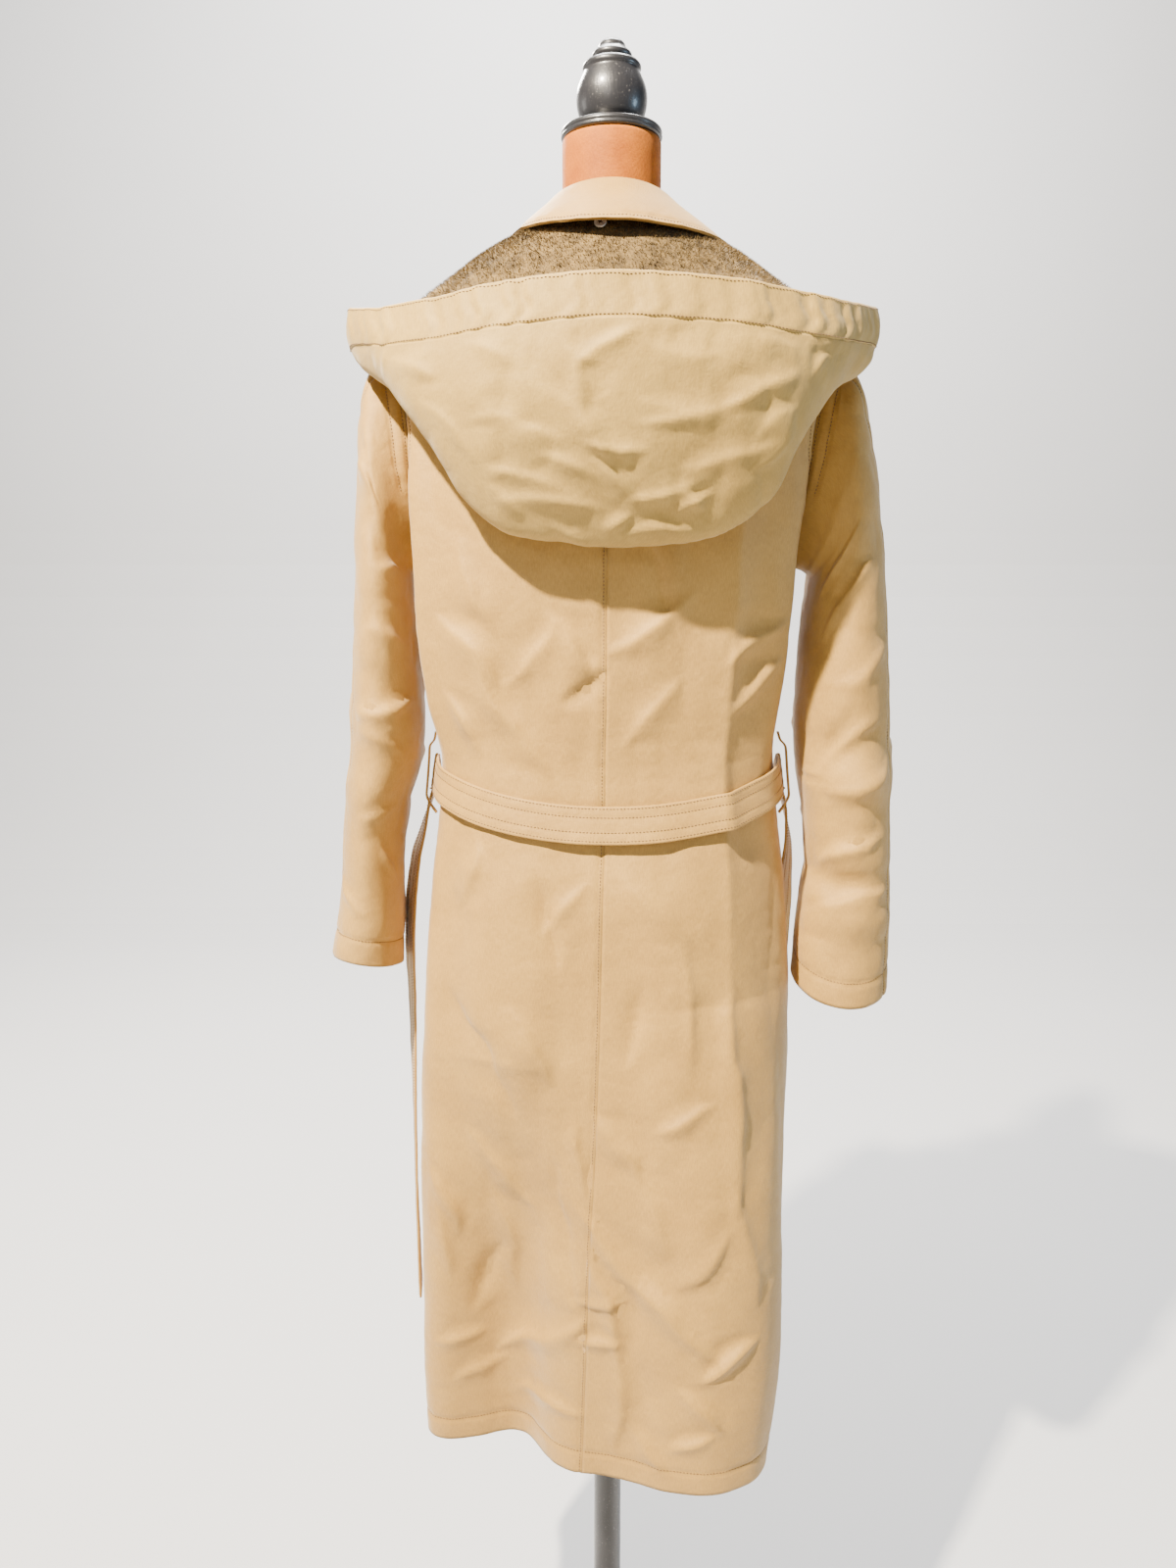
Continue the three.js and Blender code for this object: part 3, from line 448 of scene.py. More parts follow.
class Finish:
    """A new material, with short ways to add nodes to it and to join them."""

    def __init__(self, name):
        self.material = bpy.data.materials.new(name)
        self.material.use_nodes = True
        self.tree = self.material.node_tree
        self.shader = self.tree.nodes["Principled BSDF"]
        place = self.add("TexCoord")
        self.place, self.cloth = place.outputs["Object"], place.outputs["UV"]

    def add(self, kind, **values):
        node = self.tree.nodes.new(f"ShaderNode{kind}")
        for key, value in values.items():
            if key in node.inputs:
                node.inputs[key].default_value = value
            else:
                setattr(node, key, value)
        return node

    def link(self, source, target):
        self.tree.links.new(source, target)

    def mapped(self, place, **values):
        node = self.add("Mapping", **values)
        self.link(place, node.inputs["Vector"])
        return node.outputs["Vector"]

    def texture(self, kind, place, **values):
        node = self.add(f"Tex{kind}", **values)
        self.link(place, node.inputs["Vector"])
        return node.outputs["Fac"]

    def ramp(self, source, *stops):
        """Colours along a factor, from its stops of place and colour."""
        node = self.add("ValToRGB")
        elements = node.color_ramp.elements
        while len(elements) < len(stops):
            elements.new(0.5)
        for element, (place, colour) in zip(elements, stops):
            element.position = place
            element.color = (*colour, 1)
        self.link(source, node.inputs["Fac"])
        return node.outputs["Color"]

    def mix(self, blend, factor, first, second):
        node = self.add("Mix", data_type="RGBA", blend_type=blend)
        node.inputs["Factor"].default_value = factor
        self.link(first, node.inputs[6])
        self.link(second, node.inputs[7])
        return node.outputs[2]

    def bump(self, height, strength, distance, normal=None):
        node = self.add("Bump", Strength=strength, Distance=distance)
        self.link(height, node.inputs["Height"])
        if normal is not None:
            self.link(normal, node.inputs["Normal"])
        return node.outputs["Normal"]

    def roughen(self, source, low, high):
        """Lets the roughness follow a factor."""
        node = self.add("MapRange")
        node.inputs["To Min"].default_value = low
        node.inputs["To Max"].default_value = high
        self.link(source, node.inputs["Value"])
        self.link(node.outputs["Result"], self.shader.inputs["Roughness"])

    def cover(self, base, normal):
        self.link(base, self.shader.inputs["Base Color"])
        self.link(normal, self.shader.inputs["Normal"])


TWILL_TURN = 63 * RAD


def cotton(name, light, dark, rough=0.58, twill=0.22):
    """Closely woven cotton: a steep twill, slubs, faint clouds of colour and rubbed edges."""
    new = Finish(name)
    clouds = new.texture("Noise", new.place, Scale=9.0, Detail=9.0, Roughness=0.8)
    turned_cloth = new.mapped(new.cloth, Rotation=(0, 0, TWILL_TURN))
    rib = new.texture("Wave", turned_cloth, Scale=430.0, Distortion=0.6, Detail=2.0)
    long_cloth = new.mapped(new.cloth, Scale=(1, 0.14, 1))
    yarn = new.texture("Noise", long_cloth, Scale=1100.0, Detail=3.0, Roughness=0.7)
    tone = new.ramp(clouds, (0.36, dark), (0.64, light))
    fine = new.ramp(yarn, (0.3, (0.74, 0.72, 0.69)), (0.7, (1.0, 1.0, 1.0)))
    woven = new.mix("MULTIPLY", 1, tone, fine)
    worn = new.add("Attribute", attribute_name="wear")
    patch = new.texture("Noise", new.place, Scale=70.0, Detail=2.0)
    amount = new.add("Math", operation="MULTIPLY")
    new.link(worn.outputs["Fac"], amount.inputs[0])
    new.link(patch, amount.inputs[1])
    rubbed = new.add("Mix", data_type="RGBA")
    new.link(amount.outputs["Value"], rubbed.inputs["Factor"])
    new.link(woven, rubbed.inputs[6])
    rubbed.inputs[7].default_value = (*[c * 0.8 for c in dark], 1)
    new.roughen(yarn, rough - 0.07, rough + 0.1)
    weave = new.bump(rib, twill, 0.0003)
    uneven = new.texture("Noise", new.place, Scale=160.0, Detail=5.0, Roughness=0.62)
    new.cover(rubbed.outputs[2], new.bump(uneven, 0.45, 0.0012, weave))
    new.shader.inputs["Sheen Weight"].default_value = 0.18
    new.shader.inputs["Sheen Roughness"].default_value = 0.45
    new.shader.inputs["Specular IOR Level"].default_value = 0.4
    return new.material


def pile_material(name, root, tip):
    """Plush: matted tufts, patched by noise between a dark root colour and the tip colour, the dark partly
    the pile's own tone and partly painted shade in the hollows between tufts, with a soft sheen.
    """
    new = Finish(name)
    tufts = new.texture("Noise", new.place, Scale=95.0, Detail=5.0, Roughness=0.75)
    clouds = new.texture("Noise", new.place, Scale=22.0, Detail=3.0)
    # The dark root colour is partly painted shade for the hollows between tufts.
    tone = new.ramp(tufts, (0.32, root), (0.68, tip))
    shade = new.ramp(clouds, (0.3, (0.38, 0.38, 0.38)), (0.7, (0.62, 0.62, 0.62)))
    new.cover(new.mix("OVERLAY", 0.7, tone, shade), new.bump(tufts, 0.8, 0.002))
    new.shader.inputs["Roughness"].default_value = 0.95
    new.shader.inputs["Sheen Weight"].default_value = 0.2
    new.shader.inputs["Sheen Roughness"].default_value = 0.35
    return new.material


def cover_material(name, light, dark):
    """The form's stretched cover: plain weave, a little shiny, darkened by handling."""
    new = Finish(name)
    clouds = new.texture("Noise", new.place, Scale=26.0, Detail=5.0, Roughness=0.65)
    weft = new.texture("Wave", new.place, bands_direction="Z", Scale=330.0, Distortion=1.2, Detail=2.0)
    grain = new.texture("Noise", new.place, Scale=600.0, Detail=3.0)
    tone = new.ramp(clouds, (0.28, dark), (0.72, light))
    fleck = new.ramp(grain, (0.35, (0.8, 0.78, 0.76)), (0.65, (1, 1, 1)))
    weave = new.bump(weft, 0.35, 0.0004)
    new.cover(new.mix("MULTIPLY", 0.85, tone, fleck), new.bump(grain, 0.3, 0.0008, weave))
    new.shader.inputs["Roughness"].default_value = 0.62
    new.shader.inputs["Sheen Weight"].default_value = 0.05
    new.shader.inputs["Specular IOR Level"].default_value = 0.15
    return new.material


def wood_material(name):
    """Turned wood under black lacquer, its open grain catching the light, with small chips."""
    new = Finish(name)
    long_wood = new.mapped(new.place, Scale=(1, 1, 0.12))
    grain = new.texture("Noise", long_wood, Scale=420.0, Detail=6.0, Roughness=0.75)
    chips = new.texture("Noise", new.place, Scale=520.0, Detail=3.0, Roughness=0.8)
    black, lacquer, bare = (0.012, 0.012, 0.014), (0.02, 0.02, 0.023), (0.2, 0.19, 0.18)
    base = new.ramp(chips, (0.0, black), (0.64, lacquer), (0.72, bare))
    new.roughen(grain, 0.22, 0.5)
    new.cover(base, new.bump(grain, 0.5, 0.0005))
    new.shader.inputs["Coat Weight"].default_value = 0.35
    new.shader.inputs["Coat Roughness"].default_value = 0.18
    return new.material


def button_material(name, light, dark, scale):
    """Polished resin with faint swirls."""
    new = Finish(name)
    swirl = new.texture("Noise", new.place, Scale=scale, Detail=4.0, Distortion=2.0)
    new.roughen(swirl, 0.22, 0.4)
    new.cover(new.ramp(swirl, (0.35, dark), (0.65, light)), new.bump(swirl, 0.15, 0.0003))
    new.shader.inputs["Coat Weight"].default_value = 0.3
    return new.material


BEIGE = (0.53, 0.31, 0.07)
BEIGE_DARK = (0.44, 0.25, 0.053)
COTTON = cotton("coat_cotton", BEIGE, BEIGE_DARK)
HOOD_COTTON = cotton("hood_cotton", (0.5, 0.325, 0.074), (0.42, 0.265, 0.056), rough=0.62)
# The thread is coloured far darker than the cloth: painted shade, standing for the shadow in the grooves
# along the stitch rows.
THREAD_DARKENED_AS_SHADE = cotton("sewing_thread_painted_shade", (0.17, 0.09, 0.022), (0.13, 0.068, 0.017), rough=0.6, twill=0.05)
# The root colour is partly the pile's own tone and partly painted shade between the tufts.
PILE = pile_material("pile_lining", (0.06, 0.036, 0.011), (0.22, 0.14, 0.043))
COVER = cover_material("form_cover", (0.5, 0.15, 0.006), (0.33, 0.085, 0.003))
WOOD = wood_material("black_wood")
HORN = button_material("horn_button", (0.32, 0.2, 0.11), (0.16, 0.09, 0.05), 180.0)
WHITE = button_material("white_button", (0.82, 0.8, 0.74), (0.7, 0.67, 0.6), 260.0)

# Body panels.
ARMHOLE = curves(
    table(
        "z back front",
        [1235, 90, 90],
        [1250, 83, 82],
        [1275, 76, 73],
        [1310, 71, 65],
        [1350, 68, 61],
        [1385, 69, 63],
        [1412, 73, 69],
        [1430, 80, 78],
        [1442, 90, 90],
    ),
    "z",
)
BACK_CREASES = (
    # x and z of both ends, bend, width, depth
    (119, 1138, 65, 1053, -5, 15, 4.2),
    (52, 1188, 22, 1146, 4, 12, 3.0),
    (40, 1114, 5, 1137, 3, 12, -2.8),
    (-3, 1162, -67, 1209, -5, 14, 3.2),
    (-113, 1146, -158, 1182, 4, 9, 3.0),
    (-119, 1104, -158, 1143, 4, 9, 3.2),
    (157, 1183, 109, 1129, 6, 14, 3.0),
    (157, 1112, 129, 1067, 4, 10, 3.0),
    (92, 1129, 55, 1181, -5, 12, 2.4),
    (-14, 1074, -59, 1127, 4, 12, 2.2),
    (132, 1251, 108, 1182, -4, 13, 2.6),
    (-33, 1249, -59, 1180, 4, 12, -2.0),
    (129, 977, 142, 919, 4, 12, 3.0),
    (71, 942, 54, 866, 5, 14, -3.2),
    (96, 816, 63, 753, 5, 14, 3.0),
    (156, 816, 99, 713, 8, 20, -4.0),
    (53, 652, 31, 526, -4, 16, -3.6),
    (110, 435, 35, 493, -6, 13, 4.0),
    (113, 548, 138, 484, 4, 13, -2.8),
    (20, 610, -96, 485, -7, 13, 5.0),
    (21, 569, -8, 469, 6, 10, 4.0),
    (-10, 469, -6, 372, 5, 11, 3.0),
    (-91, 455, -138, 485, 4, 8, 4.4),
    (29, 472, -10, 480, 3, 7, 3.0),
    (15, 708, -26, 661, 5, 12, 3.4),
    (-26, 661, -50, 580, 5, 14, 2.6),
    (-46, 703, -95, 725, 4, 10, 2.6),
    (-115, 823, -122, 634, 4, 15, 4.0),
    (-122, 634, -143, 531, 4, 12, 3.0),
    (-62, 371, -97, 393, 3, 7, 3.0),
    (180, 627, 155, 570, 5, 10, 3.0),
    (177, 443, 132, 449, 4, 8, 2.4),
    (176, 586, 162, 527, 4, 10, 2.2),
    (-69, 438, -107, 400, 4, 10, 3.4),
    (-25, 394, -59, 349, -4, 10, 2.4),
    (61, 890, 23, 941, 4, 9, 2.2),
    (-13, 941, -68, 888, 5, 14, 2.4),
    (-68, 869, -73, 771, 4, 16, 2.6),
    (-31, 840, -12, 772, 4, 12, -2.2),
    (140, 673, 85, 611, 6, 13, 2.6),
    (89, 385, 30, 395, 4, 9, 2.4),
    (158, 397, 108, 418, 4, 8, 2.0),
    (36, 702, 27, 641, 3, 8, 2.2),
    (118, 611, 96, 516, 5, 14, 2.8),
    (-112, 598, -69, 546, 4, 10, 2.4),
    (-11, 525, 28, 515, 3, 7, 2.4),
)
FRONT_CREASES = (
    (-20, 900, -70, 850, 5, 9, 1.5),
    (60, 930, 110, 900, 4, 9, 1.5),
    (-120, 880, -90, 820, 5, 9, 1.6),
    (20, 640, 60, 590, 4, 10, 1.5),
    (-60, 600, -110, 560, -5, 10, 1.7),
    (90, 520, 130, 470, 4, 9, 1.6),
    (-30, 460, -80, 420, 4, 9, 1.6),
    (30, 400, 90, 440, -5, 9, 1.5),
    (-140, 470, -100, 430, 3, 8, 1.5),
    (60, 1180, 120, 1240, 5, 12, 1.8),
    (-70, 1170, -130, 1240, 5, 12, 1.8),
    (50, 1080, 110, 1120, 4, 9, 1.5),
    (-60, 1075, -120, 1110, -4, 9, 1.5),
    (80, 760, 90, 640, 6, 15, 1.7),
    (-90, 780, -84, 650, -6, 15, 1.7),
    (-50, 1330, -110, 1290, 5, 11, 1.3),
)


BELT_LEVEL = 1005


def body_relief(points, angle):
    """The body's folds: calmer at the shoulders and under the belt."""
    behind = np.cos(angle)
    x, z = points[..., 0], points[..., 2]
    back = creases(BACK_CREASES, x, z) * smooth(behind, 0.02, 0.3)
    front = creases(FRONT_CREASES, x, z) * smooth(-behind, 0.02, 0.3)
    hanging = 1 - smooth(z, 1380, 1480)
    belted = 1 - smooth(np.abs(z - BELT_LEVEL), 10, 45)
    long_grain = points * np.array([1, 1, 0.45])
    drape = 2.6 * noise(points * np.array([1, 1, 0.16]), 40, 4) * (1 - smooth(z, 1150, 1350))
    uneven = drape + 2.2 * noise(long_grain, 85, 1)
    uneven = uneven + 1.5 * rumple(long_grain, 46, 2) + 0.35 * rumple(points, 19, 3)
    bent = 1.65 * (back + front) * hanging * (1 - 0.6 * belted)
    return bent + uneven * (0.35 + 0.65 * hanging) * (1 - 0.3 * belted)


def arc(z):
    """Half a seam's gap, as an angle round the coat."""
    return SEAM / 2 / SECTION["halfWidth"](z)


def seam_angle(z):
    return np.arcsin((SECTION["seam"](z) - SECTION["shift"](z)) / SECTION["halfWidth"](z))


def edge_angle(z, side):
    inside = (z > UNDERARM) & (z < SHOULDER)
    return RAD * np.where(inside, ARMHOLE[side](z), 90)


OVERLAP = 38
SINK = WALL + 2.6


def sunk(x):
    """How deep the under front lies below the coat's surface, across the button overlap."""
    beyond = smooth(x, OVERLAP * 1.1, OVERLAP * 2)
    return SINK * (1 - beyond) * smooth(x, -OVERLAP * 1.6, -OVERLAP * 1.1)


ANYWHERE = (-1e9, 1e9)
ARMHOLE_RANGE = (UNDERARM + 12, SHOULDER - 2)
HEM_STITCH = ("bottom", 23, *ANYWHERE)
FRONT_STITCH = ("first", 7, *ANYWHERE)
ARMHOLE_STITCHES = [("last", 3, *ARMHOLE_RANGE), ("last", 15, *ARMHOLE_RANGE)]
PANEL_LINES = {
    "back_left": [("first", 3.2, *ANYWHERE), HEM_STITCH, *ARMHOLE_STITCHES],
    "back_right": [HEM_STITCH, *ARMHOLE_STITCHES],
    "front_left": [HEM_STITCH, FRONT_STITCH, *ARMHOLE_STITCHES],
    "front_right": [HEM_STITCH, FRONT_STITCH, *ARMHOLE_STITCHES],
}
LAPEL_FOOT = 1500


def body_panel(name, side, behind):
    """A panel's cloth and its stitch paths; side is 1 on the wearer's left and -1 on the right."""
    rows, columns = (372, 96) if behind else (300, 76)
    levels = np.linspace(HEM, NECK_EDGE, rows)[:, None]
    share = np.linspace(0, 1, columns)[None, :]
    if behind:
        start = seam_angle(levels) + side * 0.2 * arc(levels)
        end = side * (edge_angle(levels, "back") - arc(levels))
    else:
        lap = np.arcsin(OVERLAP / SECTION["halfWidth"](levels))
        start = side * (math.pi + np.where(levels > LAPEL_FOOT, 0.4, 1) * lap)
        end = side * (math.pi - edge_angle(levels, "front") + arc(levels))
    angle = lerp(start, end, share)
    cloth = facing(coat(angle, levels + 0 * angle), [0, 1 if behind else -1, 0])
    if not behind and side > 0:
        cloth.lift(-sunk(cloth.points[..., 0]))
    cloth.lift(body_relief(cloth.points, angle))
    return cloth, cloth.sewn(PANEL_LINES[name], 20 + side)


BODY = {
    "back_left": body_panel("back_left", 1, True),
    "back_right": body_panel("back_right", -1, True),
    "front_left": body_panel("front_left", 1, False),
    "front_right": body_panel("front_right", -1, False),
}
for name, (cloth, _) in BODY.items():
    piece = shell(f"coat_{name}", cloth, COTTON, name)
sew("body_stitching", [path for _, paths in BODY.values() for path in paths], THREAD_DARKENED_AS_SHADE)

# Sleeves.
SLEEVE_NAMES = "ring outerX outerZ innerX innerZ halfDepth centreY lean"
SLEEVES = {
    "left": curves(
        table(
            SLEEVE_NAMES,
            [1, 219, 1437, 190, 1234, 57, -6, 0],
            [2, 231, 1421, 194, 1231, 64, -5, 0],
            [3, 239, 1388, 196, 1228, 70, -4, 0],
            [4, 243, 1345, 196, 1222, 74, -4, 0],
            [5, 247, 1290, 195, 1208, 77, -4, 0],
            [6, 250, 1230, 192, 1178, 78, -5, 0],
            [7, 254, 1165, 190, 1133, 77, -6, 0],
            [8, 258, 1105, 188, 1088, 75, -8, 0],
            [9, 262, 1050, 191, 1048, 72, -9, 0],
            [10, 267, 1000, 206, 1000, 69, -9, 0],
            [11, 272, 955, 211, 952, 66, -8, -0.02],
            [12, 277, 910, 213, 905, 62, -7, -0.06],
            [13, 283, 872, 214, 866, 59, -6, -0.1],
            [14, 288, 842, 216, 828, 57, -5, -0.14],
        ),
        "ring",
    ),
    "right": curves(
        table(
            SLEEVE_NAMES,
            [1, 220, 1437, 183, 1233, 57, -6, 0],
            [2, 234, 1420, 189, 1230, 64, -5, 0],
            [3, 245, 1385, 192, 1228, 70, -4, 0],
            [4, 254, 1340, 196, 1224, 72, -4, 0],
            [5, 262, 1290, 194, 1210, 73, -4, 0],
            [6, 268, 1235, 190, 1183, 73, -4, 0],
            [7, 274, 1170, 188, 1138, 72, -4, 0],
            [8, 278, 1105, 187, 1088, 70, -4, 0],
            [9, 282, 1045, 190, 1040, 66, -3, 0],
            [10, 285, 990, 198, 990, 62, -2, 0.02],
            [11, 287, 940, 201, 945, 58, 0, 0.08],
            [12, 288, 895, 197, 905, 54, 1, 0.16],
            [13, 289, 855, 192, 862, 51, 2, 0.26],
            [14, 289, 813, 190, 818, 51, 2, 0.36],
        ),
        "ring",
    ),
}
SLEEVE_FOLDS = {
    # ring, turn, depth, reach along, reach around
    "left": (
        (4.5, 70, -4, 0.5, 40),
        (7.4, 110, -5, 0.35, 45),
        (8.2, 90, 4, 0.35, 50),
        (10.6, 120, -4, 0.4, 40),
        (9.5, 40, 3, 0.5, 40),
    ),
    "right": (
        (5.2, 60, -4, 0.5, 40),
        (8.6, 100, -7, 0.4, 50),
        (9.3, 80, 6, 0.4, 60),
        (11.3, 110, -8, 0.35, 55),
        (12.1, 90, 5, 0.4, 55),
    ),
}
# Millimetres of sleeve from ring to ring, and round it in a degree.
RING_LENGTH = 45
TURN_LENGTH = 1.1
SLEEVE_CREASES = {
    # turn and ring of both ends, bend, width, depth
    "left": (
        (50, 7.9, 150, 7.55, -8, 7, 2.8),
        (70, 6.75, 150, 6.45, 6, 8, 2.0),
        (60, 8.4, 130, 8.8, 6, 8, 1.6),
        (80, 10.1, 140, 10.0, 3, 6, 1.2),
        (120, 10.9, 150, 11.6, 4, 6, 1.8),
        (40, 4.2, 90, 3.4, 8, 11, 1.8),
        (100, 5.3, 140, 4.3, 6, 9, 1.6),
        (40, 11.5, 100, 12.3, -6, 9, 1.4),
        (-60, 7.5, 20, 8.2, 8, 9, 1.8),
        (-100, 8.6, -20, 9.1, -7, 9, 1.8),
        (-90, 10.6, -30, 10.0, 6, 9, 1.5),
        (-80, 4.6, -30, 3.8, 6, 11, 1.6),
        (200, 7.2, 250, 7.9, 5, 8, 1.8),
        (195, 8.9, 245, 9.4, -5, 8, 1.6),
    ),
    "right": (
        (60, 8.2, 125, 8.9, 9, 8, 2.6),
        (50, 8.9, 120, 9.3, -8, 8, 2.2),
        (60, 10.4, 140, 10.9, 10, 8, 3.0),
        (45, 11.4, 130, 12.0, 9, 9, 2.4),
        (70, 5.6, 130, 6.4, 7, 9, 2.0),
        (90, 4.4, 140, 5.4, 7, 9, 1.8),
        (40, 6.9, 110, 7.4, -7, 9, 1.8),
        (130, 9.2, 165, 9.15, 1, 3, -1.6),
        (-60, 8.4, 20, 8.9, 8, 9, 1.8),
        (-100, 9.4, -20, 9.9, -7, 9, 1.8),
        (-90, 11.4, -30, 10.8, 6, 9, 1.6),
        (-80, 4.6, -30, 3.8, 6, 11, 1.6),
        (200, 8.2, 250, 8.9, 5, 8, 1.8),
        (195, 9.9, 245, 10.4, -5, 8, 1.6),
    ),
}
SLEEVE_GAP = 1.4
HIND_SEAM = 38
FRONT_SEAM = 232
CUFF_STITCH = ("top", 26, *ANYWHERE)
HIND_ROWS = (1300, 1420)
HIND_STITCHES = [("bottom", 4, *HIND_ROWS), ("bottom", 16, *HIND_ROWS)]
SLEEVE_LINES = {
    "upper": [CUFF_STITCH, ("last", 2.5, *ANYWHERE), *HIND_STITCHES],
    "under": [CUFF_STITCH, *HIND_STITCHES],
}
SLEEVE_SLIT = 0.004


def armhole_point(turn, side):
    half = (SHOULDER - UNDERARM) / 2
    z = (SHOULDER + UNDERARM) / 2 + (half - SLEEVE_GAP) * np.cos(turn)
    behind = np.sin(turn) >= 0
    edge = np.where(behind, edge_angle(z, "back"), edge_angle(z, "front"))
    edge = edge + SLEEVE_GAP / SECTION["back"](z)
    return coat(side * np.where(behind, edge, math.pi - edge), z)


def sleeve_point(name, turn, at):
    side = 1 if name == "left" else -1
    ring = SLEEVES[name]
    k = np.maximum(at, 1)
    middle_x = (ring["outerX"](k) + ring["innerX"](k)) / 2
    middle_z = (ring["outerZ"](k) + ring["innerZ"](k)) / 2
    half_x = (ring["outerX"](k) - ring["innerX"](k)) / 2
    half_z = (ring["outerZ"](k) - ring["innerZ"](k)) / 2
    fold = sum(
        depth * np.exp(-(((k - place) / along) ** 2) - ((turn / RAD - about) / around) ** 2)
        for place, about, depth, along, around in SLEEVE_FOLDS[name]
    )
    grow = 1 + fold / ring["halfDepth"](k)
    fall = -ring["lean"](k) * ring["halfDepth"](k) * np.sin(turn)
    hanging = xyz(
        side * (middle_x + half_x * np.cos(turn) * grow),
        ring["centreY"](k) + ring["halfDepth"](k) * np.sin(turn) * grow,
        middle_z + half_z * np.cos(turn) + fall,
    )
    start = armhole_point(turn, side)
    share = np.clip(at, 0, 1)[..., None]
    return np.where(at[..., None] >= 1, hanging, lerp(start, hanging, share))


def sleeve_piece(name, part):
    first, last = (FRONT_SEAM - 360, HIND_SEAM) if part == "upper" else (HIND_SEAM, FRONT_SEAM)
    rings = np.concatenate([np.linspace(0, 1, 10)[:-1], np.linspace(1, 14, 170)])[:, None]
    turn = np.linspace(first * RAD + SLEEVE_SLIT, last * RAD - SLEEVE_SLIT, 84)[None, :]
    turn, rings = np.broadcast_arrays(turn, rings)
    points = sleeve_point(name, turn, rings)
    cloth = facing(points, points - points.mean(axis=1, keepdims=True))
    to_cloth = [TURN_LENGTH, RING_LENGTH, TURN_LENGTH, RING_LENGTH, 1, 1, 1]
    rows = np.array(SLEEVE_CREASES[name]) * to_cloth
    wrinkle = creases(rows, turn / RAD * TURN_LENGTH, rings * RING_LENGTH)
    hanging = smooth(rings, 0, 1.2)
    uneven = 1.4 * noise(cloth.points, 62, 5) + 1.1 * rumple(cloth.points, 34, 6)
    uneven = uneven + 0.3 * rumple(cloth.points, 15, 7)
    roll = 1.1 * np.exp(-(((cloth.away["bottom"] - 6) / 5) ** 2))
    cloth.lift((1.7 * wrinkle + uneven) * (0.2 + 0.8 * hanging) + roll)
    return cloth, cloth.sewn(SLEEVE_LINES[part], 40 + len(part))


SLEEVE_PIECES = {
    f"sleeve_{side}_{part}": sleeve_piece(side, part)
    for side in ("left", "right")
    for part in ("upper", "under")
}
for name, (cloth, _) in SLEEVE_PIECES.items():
    piece = shell(f"coat_{name}", cloth, COTTON, name)
sew("sleeve_stitching", [path for _, paths in SLEEVE_PIECES.values() for path in paths], THREAD_DARKENED_AS_SHADE)

# Collar.
COLLAR_WALL = 2.2
COLLAR_END = 168
COLLAR = curves(
    table(
        "ring halfWidth back front z rise drop spread",
        [0, 65.5, 57.5, 69, 1525.8, 8, 55, 0],
        [1, 58, 53.5, 66, 1547, 7, 57, 0],
        [2, 52, 51, 61, 1566, 5, 60, 0],
        [2.6, 51, 51.5, 60, 1572, 5, 62, 0],
        [3.2, 54.5, 55, 63, 1571, 5, 64, 0],
        [4, 66, 68, 74, 1561, 2, 68, 4],
        [5, 80, 83, 90, 1550, -2, 76, 10],
        [6, 94, 98, 106, 1538, -8, 84, 18],
    ),
    "ring",
)


def collar(angle, ring):
    behind = np.cos(angle) > 0
    level = np.where(behind, COLLAR["rise"](ring), -COLLAR["drop"](ring))
    slip = np.maximum(-np.sin(angle), 0) ** 2 * COLLAR["spread"](ring)
    deep = np.where(behind, COLLAR["back"](ring), COLLAR["front"](ring))
    return xyz(
        (COLLAR["halfWidth"](ring) + slip) * np.sin(angle),
        deep * np.cos(angle),
        COLLAR["z"](ring) + level * np.cos(angle) ** 2 - 0.58 * slip,
    )


def collar_piece(rings, rows, lines):
    angle = np.linspace(-COLLAR_END * RAD, COLLAR_END * RAD, 220)[None, :]
    ring = np.linspace(*rings, rows)[:, None]
    angle, ring = np.broadcast_arrays(angle, ring)
    points = collar(angle, ring)
    fallen, standing = (ring > 3)[..., None], (ring <= 2)[..., None]
    cloth = facing(points, fallen * np.array([0, 0, 1]) + standing * points * [1, 1, 0])
    free = smooth(ring, 3, 5)
    uneven = 0.9 * noise(cloth.points, 48, 8) + 0.35 * noise(cloth.points, 20, 9)
    cloth.lift(uneven * (0.15 + 0.85 * free))
    return cloth, cloth.sewn(lines, 60)


FALL_LINES = [(edge, 6, *ANYWHERE) for edge in ("top", "first", "last")]
STAND = collar_piece((0, 1.96), 16, [])[0]
FALL, FALL_PATHS = collar_piece((2.02, 6), 34, FALL_LINES)
piece = shell("collar_stand_cloth", STAND, COTTON, "collar_stand", COLLAR_WALL, 3)
piece = shell("collar_fall_cloth", FALL, COTTON, "collar_fall", COLLAR_WALL, 3)
sew("collar_stitching", FALL_PATHS, THREAD_DARKENED_AS_SHADE)

